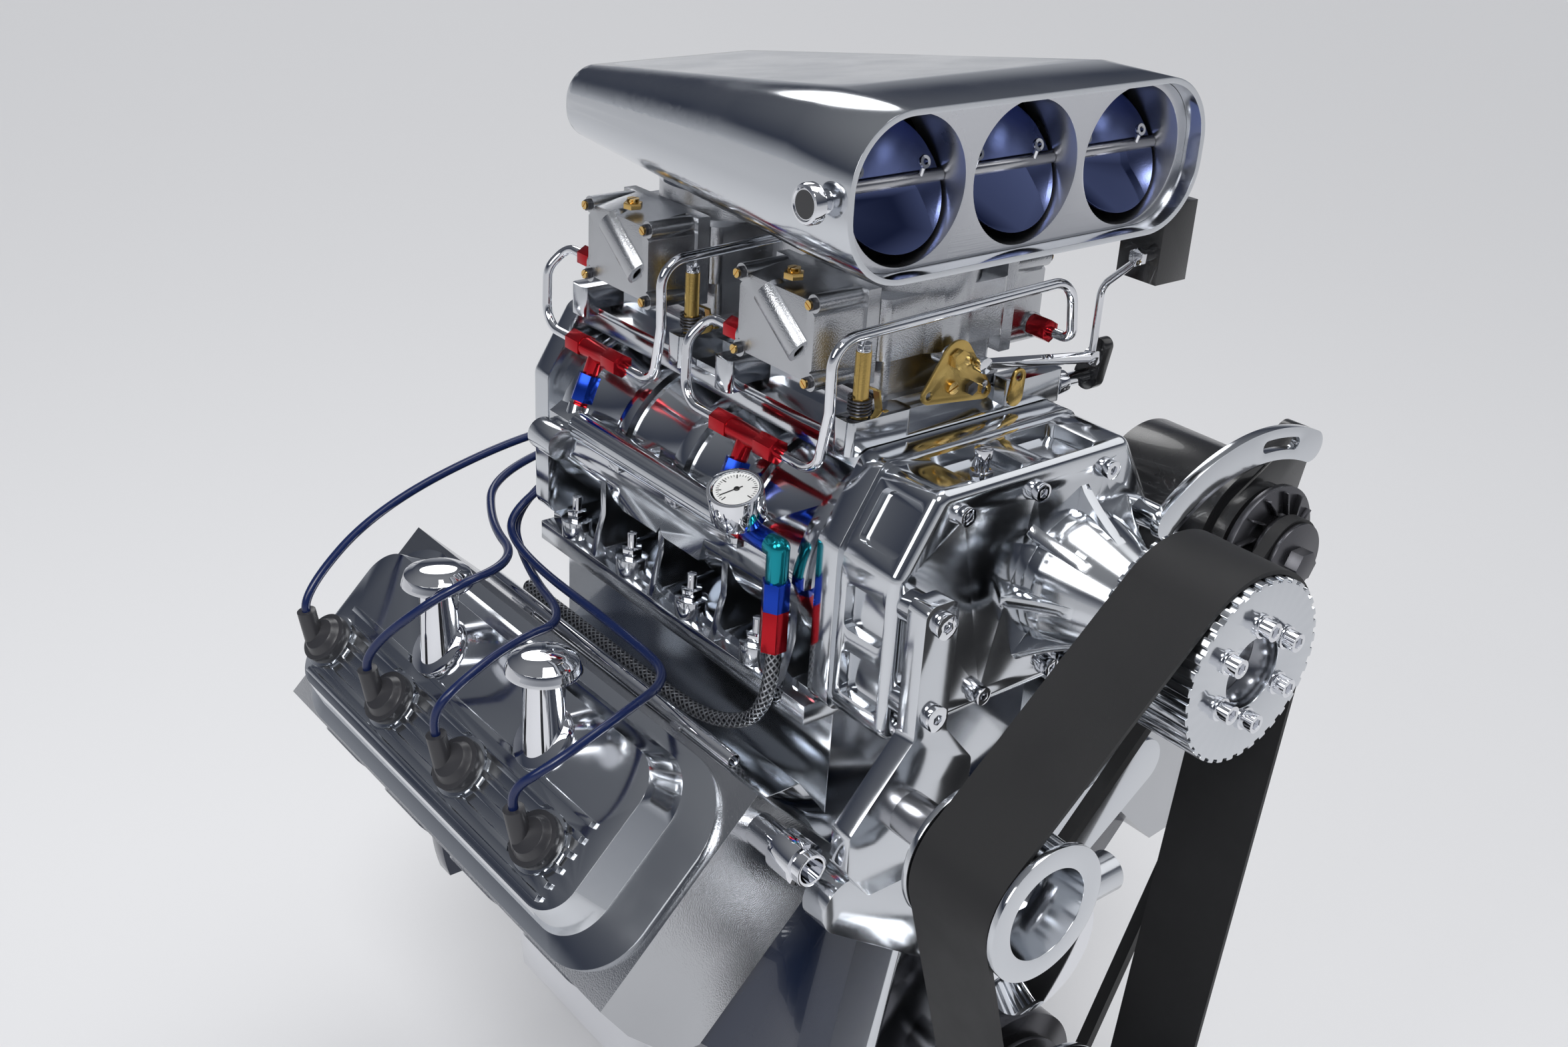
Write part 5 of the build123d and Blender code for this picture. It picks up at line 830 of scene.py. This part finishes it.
@dataclass
class SupplyHose:
    """The braided hose under the fuel log."""

    palette: Palette
    radius: float = 6.2
    sides: int = ROUND_SIDES
    route: tuple[Point, ...] = (
        (-150, -474, 425),
        (-150, -474, 365),
        (-156, -420, 328.5),
        (-158, -345, 320.5),
        (-156, -119, 320.5),
    )

    def line(self) -> list[Vector]:
        """The points that the smooth route passes, read from its spline."""
        curve = nurbs_line("hose_line", [[mm(*point) for point in self.route]], 0.0)
        curve.use_fill_caps = False
        holder = bpy.data.objects.new("hose_line", curve)
        mesh = bpy.data.meshes.new_from_object(holder)
        points = [vertex.co.copy() for vertex in mesh.vertices]
        bpy.data.objects.remove(holder)
        bpy.data.meshes.remove(mesh)
        return points

    def build(self) -> None:
        """Skin the route with rings of facets and lay the braid's UV map on them."""
        points = self.line()
        shape = bmesh.new()
        far = [0.0]
        for here, there in zip(points, points[1:]):
            far.append(far[-1] + (there - here).length)
        place: dict[bmesh.types.BMVert, tuple[float, int]] = {}
        rings: list[list[bmesh.types.BMEdge]] = []
        for index, point in enumerate(points):
            way = points[min(index + 1, len(points) - 1)] - points[max(index - 1, 0)]
            ring = bmesh.ops.create_circle(
                shape, cap_ends=False, segments=self.sides, radius=self.radius * MM
            )["verts"]
            side = way.cross(Vector((1, 0, 0))).normalized()
            turn = Matrix((way.normalized().cross(side), side, way.normalized())).transposed()
            bmesh.ops.transform(shape, matrix=Matrix.Translation(point) @ turn.to_4x4(), verts=ring)
            for step, vert in enumerate(ring):
                place[vert] = (far[index], step)
            rings.append(list({edge for vert in ring for edge in vert.link_edges}))
        layer = shape.loops.layers.uv.new("braid")
        for low, high in zip(rings, rings[1:]):
            bmesh.ops.bridge_loops(shape, edges=low + high)
        for face in shape.faces:
            face.smooth = True
            steps = [place[loop.vert][1] for loop in face.loops]
            for loop in face.loops:
                along, step = place[loop.vert]
                if max(steps) - min(steps) > 1 and step == 0:
                    step = self.sides
                loop[layer].uv = (along / far[-1], step / self.sides)
        bmesh.ops.recalc_face_normals(shape, faces=shape.faces)
        mesh = bpy.data.meshes.new("braided_hose")
        shape.to_mesh(mesh)
        shape.free()
        mesh.materials.append(self.palette["braided_steel"])
        hose = bpy.data.objects.new("braided_hose", mesh)
        bpy.context.collection.objects.link(hose)
        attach(hose, Body.ENGINE.value)
        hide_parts("fuel_hose")
        LOG.info("built the braided hose")


@dataclass
class GaugeDial:
    """White dial of the fuel gauge, with strokes, a needle and its hub.

    Strokes and needle are given by length, width and thickness in millimetres.
    """

    palette: Palette
    top: Point = (-168.0, -441.0, 552.0)
    way: Point = (-0.30, -0.15, 0.94)
    across: Point = (0.7799, -0.6234, 0.0554)
    recess: float = 2.0
    plate: Profile = ((0, 0), (18.0, 0), (18.0, 0.5), (0, 0.5))
    strokes: int = 31
    long_every: int = 5
    sweep: float = 270.0
    long_stroke: Point = (4.2, 0.9, 0.12)
    short_stroke: Point = (2.2, 0.5, 0.12)
    stroke_end: float = 15.8
    stroke_height: float = 0.55
    needle: Point = (19.0, 0.9, 0.3)
    needle_edge: float = 0.1
    needle_angle: float = 205.0
    needle_middle: float = 4.5
    needle_height: float = 0.95
    hub: Profile = ((0, 1.6), (1.6, 1.6), (2.3, 1.1), (2.3, 0.4))

    def build(self) -> None:
        """Make the dial as one piece."""
        up = Vector(self.way).normalized()
        side = Vector(self.across)
        side = (side - up * side.dot(up)).normalized()
        frame = Matrix((side, up.cross(side), up)).transposed().to_4x4()
        seat = Matrix.Translation(mm(*self.top) - up * (self.recess * MM)) @ frame
        dial = Workpiece("gauge_dial")
        dial.join(turned(self.plate, FINE_SIDES), "dial_white", seat)
        for index in range(self.strokes):
            sizes = self.short_stroke if index % self.long_every else self.long_stroke
            angle = 90 + self.sweep / 2 - self.sweep * index / (self.strokes - 1)
            lie = self._lie(angle, self.stroke_end - sizes[0] / 2, self.stroke_height)
            dial.join(block(*sizes), "ink_black", seat @ lie)
        lie = self._lie(self.needle_angle, self.needle_middle, self.needle_height)
        dial.join(block(*self.needle, self.needle_edge), "ink_black", seat @ lie)
        dial.join(turned(self.hub), "ink_black", seat)
        dial.build(self.palette)

    def _lie(self, angle: float, reach: float, height: float) -> Matrix:
        """Where a mark lies on the dial.

        Args:
            angle: Its direction in degrees.
            reach: Its middle's distance from the dial's centre in millimetres.
            height: Its height over the dial's foot in millimetres.

        Returns:
            The matrix that puts it there.
        """
        spin = Matrix.Rotation(math.radians(angle), 4, "Z")
        return spin @ Matrix.Translation(mm(reach, 0, height))


@dataclass
class CarbTrim:
    """Small parts of the two carburettors: screws, nuts, springs and arms.

    A screw head is given by its radius and height and its slot's width and depth, and a nut or
    stud by its radius, height and chamfer. The arm's places count from the pump rod's Y.
    """

    palette: Palette
    centres: tuple[float, float] = (-417.0, -207.0)
    bowl_screw: tuple[float, float] = (124.0, 42.5)
    screw_heights: tuple[float, float] = (632.0, 692.0)
    screw_head: ScrewHead = (3.6, 1.8, 0.9, 0.8)
    screw_turn: float = 25.0
    turn_by_height: float = 3.1
    float_nut: Point = (108.0, -4.0, 699.0)
    float_nut_turn: float = 15.0
    float_nut_sizes: Point = (8.2, 5.0, 0.6)
    float_screw: ScrewHead = (5.0, 3.2, 1.3, 1.2)
    pump_rod: tuple[float, float] = (-96.0, -73.0)
    spring_foot: float = 613.0
    spring: tuple[float, float, int, float] = (8.4, 1.0, 5, 15.0)
    cap_foot: float = 662.0
    cap_turn: float = 40.0
    cap_head: ScrewHead = (5.4, 6.0, 1.4, 1.6)
    arm_line: tuple[Point, ...] = ((-90, -3, 634), (-79, -3, 629), (-74, -3, 606))
    arm_width: float = 7.0
    arm_thickness: float = 1.6
    arm_pin: Point = (-74.0, -5.5, 610.0)
    pin_profile: Profile = ((0, 0), (3.4, 0), (3.4, 1.4), (2.0, 1.8), (2.0, 9), (0, 9))
    lever_screw: Point = (-4.0, -491.5, 616.0)
    lever_screw_head: ScrewHead = (5.2, 3.0, 1.3, 1.0)
    lever_screw_turn: float = 20.0
    lever_nut: Point = (16.0, -491.5, 612.0)
    lever_nut_sizes: Point = (5.8, 4.0, 0.5)
    lever_stud: Point = (30.0, -491.5, 613.0)
    lever_stud_sizes: Point = (3.0, 3.0, 0.8)
    stud_sides: int = 20

    def build(self) -> None:
        """Make the screws, the nuts, the pump springs and arms and the lever bolts."""
        self._screws()
        self._float_nuts()
        self._pumps()
        self._lever_bolts()

    def _lever_bolts(self) -> None:
        """Heads on the front lever plates: one slotted, one hexagon, one round."""
        bolts = Workpiece("lever_plate_bolts")
        screw = slotted(*self.lever_screw_head)
        nut = prism(HEXAGON, *self.lever_nut_sizes)
        stud = prism(self.stud_sides, *self.lever_stud_sizes)
        bolts.join(screw, "brass", aimed(mm(*self.lever_screw), FORWARD, self.lever_screw_turn))
        bolts.join(nut, "dark_steel", aimed(mm(*self.lever_nut), FORWARD))
        bolts.join(stud, "machined_steel", aimed(mm(*self.lever_stud), FORWARD))
        bolts.build(self.palette)

    def _screws(self) -> None:
        """A brass slotted head on every hexagon of the bowls."""
        screws = Workpiece("bowl_screw_heads")
        reach, spread = self.bowl_screw
        for centre in self.centres:
            for side in (RIGHT, LEFT):
                for shift in (-spread, spread):
                    for height in self.screw_heights:
                        foot = mm(side * reach, centre + shift, height)
                        turn = self.screw_turn + self.turn_by_height * height + shift
                        place = aimed(foot, (side, 0, 0), turn)
                        screws.join(slotted(*self.screw_head), "brass", place)
        screws.build(self.palette)

    def _float_nuts(self) -> None:
        """A hexagon nut with a slotted screw on top of every bowl."""
        nuts = Workpiece("float_level_nuts")
        reach, shift, top = self.float_nut
        for centre in self.centres:
            for side in (RIGHT, LEFT):
                foot = aimed(mm(side * reach, centre + shift, top), UP, self.float_nut_turn)
                lift = foot @ Matrix.Translation(mm(0, 0, self.float_nut_sizes[1]))
                nuts.join(prism(HEXAGON, *self.float_nut_sizes), "brass", foot)
                nuts.join(slotted(*self.float_screw), "brass", lift)
        nuts.build(self.palette)

    def _pumps(self) -> None:
        """A spring round the foot of each pump rod, and the arm from rod to lever."""
        springs = Workpiece("pump_springs", slot="dark_steel")
        arms = Workpiece("pump_arms", slot="gold_zinc")
        for centre in self.centres:
            rod_x, rod_y = self.pump_rod[0], centre + self.pump_rod[1]
            foot = aimed(mm(rod_x, rod_y, self.spring_foot), UP)
            springs.join(coil(*self.spring), "dark_steel", foot)
            cap = aimed(mm(rod_x, rod_y, self.cap_foot), UP, self.cap_turn)
            arms.join(slotted(*self.cap_head), "chrome", cap)
            line = [mm(x, rod_y + y, z) for x, y, z in self.arm_line]
            arm = strap(line, mm(0, self.arm_width, 0), self.arm_thickness)
            arms.join(arm, "gold_zinc", Matrix.Identity(4))
            pin_x, pin_y, pin_z = self.arm_pin
            pin = aimed(mm(pin_x, rod_y + pin_y, pin_z), (0, 1, 0))
            arms.join(turned(self.pin_profile), "gold_zinc", pin)
        springs.build(self.palette)
        arms.build(self.palette)


@dataclass
class ScoopTrim:
    """Ring-headed screws of the butterfly shaft, and the knob on the scoop's side.

    The shaft is given by its Y and Z, and each screw's stem and eye by their shift from it.
    """

    palette: Palette
    bores: tuple[float, float, float] = (-111.0, 0.0, 111.0)
    screw_shift: float = 30.0
    shaft: tuple[float, float] = (-513.0, 791.5)
    stem: tuple[float, float] = (-3.0, 2.5)
    stem_sides: int = 12
    stem_radius: float = 1.8
    stem_length: float = 7.0
    stem_way: Point = (0.0, -0.3, 1.0)
    eye: tuple[float, float] = (-4.6, 12.0)
    eye_way: Point = (0.0, -1.0, 0.3)
    eye_profile: Profile = ((2.2, 0), (4.4, 0), (4.8, 1.2), (4.4, 2.4), (2.2, 2.4), (2.2, 0))
    knob: Point = (-175.5, -529.0, 791.0)
    knob_sides: int = 40
    knob_profile: Profile = (
        (0, -1), (8.0, -1), (8.0, 1.5), (6.4, 2.4), (5.0, 3.2), (5.0, 7.5), (12.0, 8.6),
        (13.8, 10.4), (13.8, 16.4), (12.8, 18.2), (11.0, 18.8), (10.2, 17.8), (0, 17.8),
    )
    inlay_profile: Profile = ((0, 18.0), (9.4, 18.0), (9.4, 17.0))

    def build(self) -> None:
        """Make the shaft's screws and the side knob."""
        screws = Workpiece("butterfly_screws", slot="chrome")
        shaft_y, shaft_z = self.shaft
        for bore in self.bores:
            for shift in (-self.screw_shift, self.screw_shift):
                foot = mm(bore + shift, shaft_y + self.stem[0], shaft_z + self.stem[1])
                stem = prism(self.stem_sides, self.stem_radius, self.stem_length)
                screws.join(stem, "chrome", aimed(foot, self.stem_way))
                eye = mm(bore + shift, shaft_y + self.eye[0], shaft_z + self.eye[1])
                screws.join(turned(self.eye_profile), "chrome", aimed(eye, self.eye_way))
        screws.build(self.palette)
        knob = Workpiece("scoop_side_knob", slot="chrome")
        seat = aimed(mm(*self.knob), (RIGHT, 0, 0))
        knob.join(turned(self.knob_profile, self.knob_sides), "chrome", seat)
        knob.join(turned(self.inlay_profile, self.knob_sides), "cap_plastic", seat)
        knob.build(self.palette)


@dataclass
class AlternatorTrim:
    """Fan vanes of the alternator, each a rounded block of the vane's sizes."""

    palette: Palette
    hub: Point = (244.0, -632.0, 470.0)
    vanes: int = 14
    vane: Point = (22.0, 1.8, 5.2)
    vane_edge: float = 0.3
    vane_middle: Point = (42.0, 0.0, 2.6)
    vane_slant: float = math.radians(28)

    def build(self) -> None:
        """Make the vanes that stand on the fan disc."""
        fan = Workpiece("alternator_fan", Body.ALTERNATOR, "dark_steel")
        centre = aimed(mm(*self.hub), FORWARD)
        slant = Matrix.Rotation(self.vane_slant, 4, "Z")
        for index in range(self.vanes):
            spin = Matrix.Rotation(math.tau * index / self.vanes, 4, "Z")
            lie = spin @ Matrix.Translation(mm(*self.vane_middle)) @ slant
            fan.join(block(*self.vane, self.vane_edge), "dark_steel", centre @ lie)
        fan.build(self.palette)


@dataclass
class IdlerTrim:
    """The bearing that shows in the idler's cup.

    Race and seal are rings given by inner radius, outer radius and height in millimetres.
    """

    palette: Palette
    floor: Point = (-135.0, -718.0, 351.6)
    race: Point = (28.5, 33.0, 1.8)
    seal: Point = (20.5, 28.5, 1.0)

    def build(self) -> None:
        """Make the outer race and its dark seal."""
        bearing = Workpiece("idler_bearing", Body.IDLER, "chrome")
        seat = aimed(mm(*self.floor), FORWARD)
        for (low, high, height), finish in ((self.race, "chrome"), (self.seal, "cap_plastic")):
            ring = [(low, 0), (high, 0), (high, height), (low, height), (low, 0)]
            bearing.join(turned(ring, FINE_SIDES), finish, seat)
        bearing.build(self.palette)


@dataclass
class Studio:
    """Floor, light and the camera at the photograph's angle.

    The sky's rows are a height, from 0 below to 1 above, and the colour there.
    """

    palette: Palette
    floor_height: float = -0.32
    floor_reach: float = 45.0
    floor_colour: Colour = (0.78, 0.78, 0.79)
    floor_roughness: float = 0.7
    sky: tuple[tuple[float, Colour], ...] = (
        (0.49, (0.62, 0.64, 0.68)),
        (0.62, (0.055, 0.065, 0.095)),
        (0.93, (0.30, 0.31, 0.33)),
    )
    camera_place: Point = (-0.8710, -1.3306, 1.0746)
    camera_right: Point = (0.7799, -0.6234, 0.0554)
    camera_up: Point = (0.2341, 0.3727, 0.8980)
    focal_length: float = 38.57
    sensor_width: float = 36.0
    nearest: float = 0.01
    world_strength: float = 0.75

    def build(self) -> None:
        """Set up the whole stage."""
        self._floor()
        self._world()
        self._lamps()
        self._camera()
        bpy.context.scene.view_settings.view_transform = "Standard"

    def _floor(self) -> None:
        """A plain pale floor under the engine."""
        mesh = bpy.data.meshes.new("floor")
        shape = bmesh.new()
        bmesh.ops.create_grid(shape, x_segments=1, y_segments=1, size=self.floor_reach)
        bmesh.ops.translate(shape, verts=shape.verts, vec=(0.0, 0.0, self.floor_height))
        shape.to_mesh(mesh)
        shape.free()
        floor = bpy.data.objects.new("floor", mesh)
        bpy.context.collection.objects.link(floor)
        material = bpy.data.materials.new("pale_floor")
        material.use_nodes = True
        shader = material.node_tree.nodes["Principled BSDF"]
        shader.inputs["Base Color"].default_value = (*self.floor_colour, 1.0)
        shader.inputs["Roughness"].default_value = self.floor_roughness
        mesh.materials.append(material)

    def _world(self) -> None:
        """A sky pale at the horizon, dark above it and grey at the top, for light and mirrors."""
        world = bpy.data.worlds.new("pale_room")
        world.use_nodes = True
        tree = world.node_tree
        background = tree.nodes["Background"]
        place = tree.nodes.new("ShaderNodeTexCoord")
        split = tree.nodes.new("ShaderNodeSeparateXYZ")
        ramp = tree.nodes.new("ShaderNodeValToRGB")
        low, *between, high = self.sky
        for element, (height, colour) in zip(ramp.color_ramp.elements, (low, high)):
            element.position = height
            element.color = (*colour, 1.0)
        for height, colour in between:
            ramp.color_ramp.elements.new(height).color = (*colour, 1.0)
        shift = tree.nodes.new("ShaderNodeMapRange")
        shift.inputs["From Min"].default_value = -1.0
        shift.inputs["From Max"].default_value = 1.0
        tree.links.new(place.outputs["Generated"], split.inputs["Vector"])
        tree.links.new(split.outputs["Z"], shift.inputs["Value"])
        tree.links.new(shift.outputs["Result"], ramp.inputs["Fac"])
        tree.links.new(ramp.outputs["Color"], background.inputs["Color"])
        background.inputs["Strength"].default_value = self.world_strength
        bpy.context.scene.world = world

    def _lamps(self) -> None:
        """Wide soft suns that light floor and engine evenly, and two panels to mirror."""
        suns = (
            # name, where it shines from, softness in degrees, strength
            ("key", (-0.75, -0.85, 1.5), 22.0, 1.55),
            ("fill", (1.2, -0.4, 1.1), 50.0, 0.55),
            ("rim", (0.7, 1.3, 1.0), 25.0, 0.45),
        )
        for name, place, softness, strength in suns:
            lamp = bpy.data.lights.new(name, "SUN")
            lamp.energy = strength
            lamp.angle = math.radians(softness)
            self._hang(name, lamp, Vector(place), Vector((0, 0, 0)))
        panels = (
            # name, place, aim, size, power
            ("left_panel", (-2.2, -0.6, 1.9), (0.0, -0.3, 0.45), 1.1, 16.0),
            ("top_panel", (0.3, -0.5, 3.0), (0.0, -0.3, 0.4), 1.3, 22.0),
        )
        for name, place, aim, size, power in panels:
            lamp = bpy.data.lights.new(name, "AREA")
            lamp.shape = "SQUARE"
            lamp.size = size
            lamp.energy = power
            self._hang(name, lamp, Vector(place), Vector(aim))

    def _hang(self, name: str, lamp: bpy.types.Light, place: Vector, aim: Vector) -> None:
        """Hang a lamp so that it shines at the aim.

        Args:
            name: The lamp's name.
            lamp: Its light data.
            place: Where it hangs.
            aim: The place that it shines at.
        """
        holder = bpy.data.objects.new(name, lamp)
        holder.location = place
        holder.rotation_euler = (aim - place).to_track_quat("-Z", "Y").to_euler()
        bpy.context.collection.objects.link(holder)

    def _camera(self) -> None:
        """The camera, placed and turned as the photograph's was."""
        lens = bpy.data.cameras.new("photo_camera")
        lens.sensor_width = self.sensor_width
        lens.lens = self.focal_length
        lens.clip_start = self.nearest
        camera = bpy.data.objects.new("photo_camera", lens)
        right = Vector(self.camera_right).normalized()
        up = Vector(self.camera_up)
        up = (up - up.dot(right) * right).normalized()
        back = right.cross(up)
        turn = Matrix((right, up, back)).transposed().to_4x4()
        camera.matrix_world = Matrix.Translation(self.camera_place) @ turn
        bpy.context.collection.objects.link(camera)
        bpy.context.scene.camera = camera


def main() -> None:
    """Load the frame, dress it and set the stage."""
    logging.basicConfig(level=logging.INFO)
    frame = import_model()
    palette = Palette()
    FrameDresser(palette, frame).dress()
    trims = (PlugWires, SupplyHose, GaugeDial, CarbTrim, ScoopTrim, AlternatorTrim, IdlerTrim)
    for trim in (*trims, Studio):
        trim(palette).build()
    LOG.info("engine dressed")


if __name__ == "__main__":
    main()
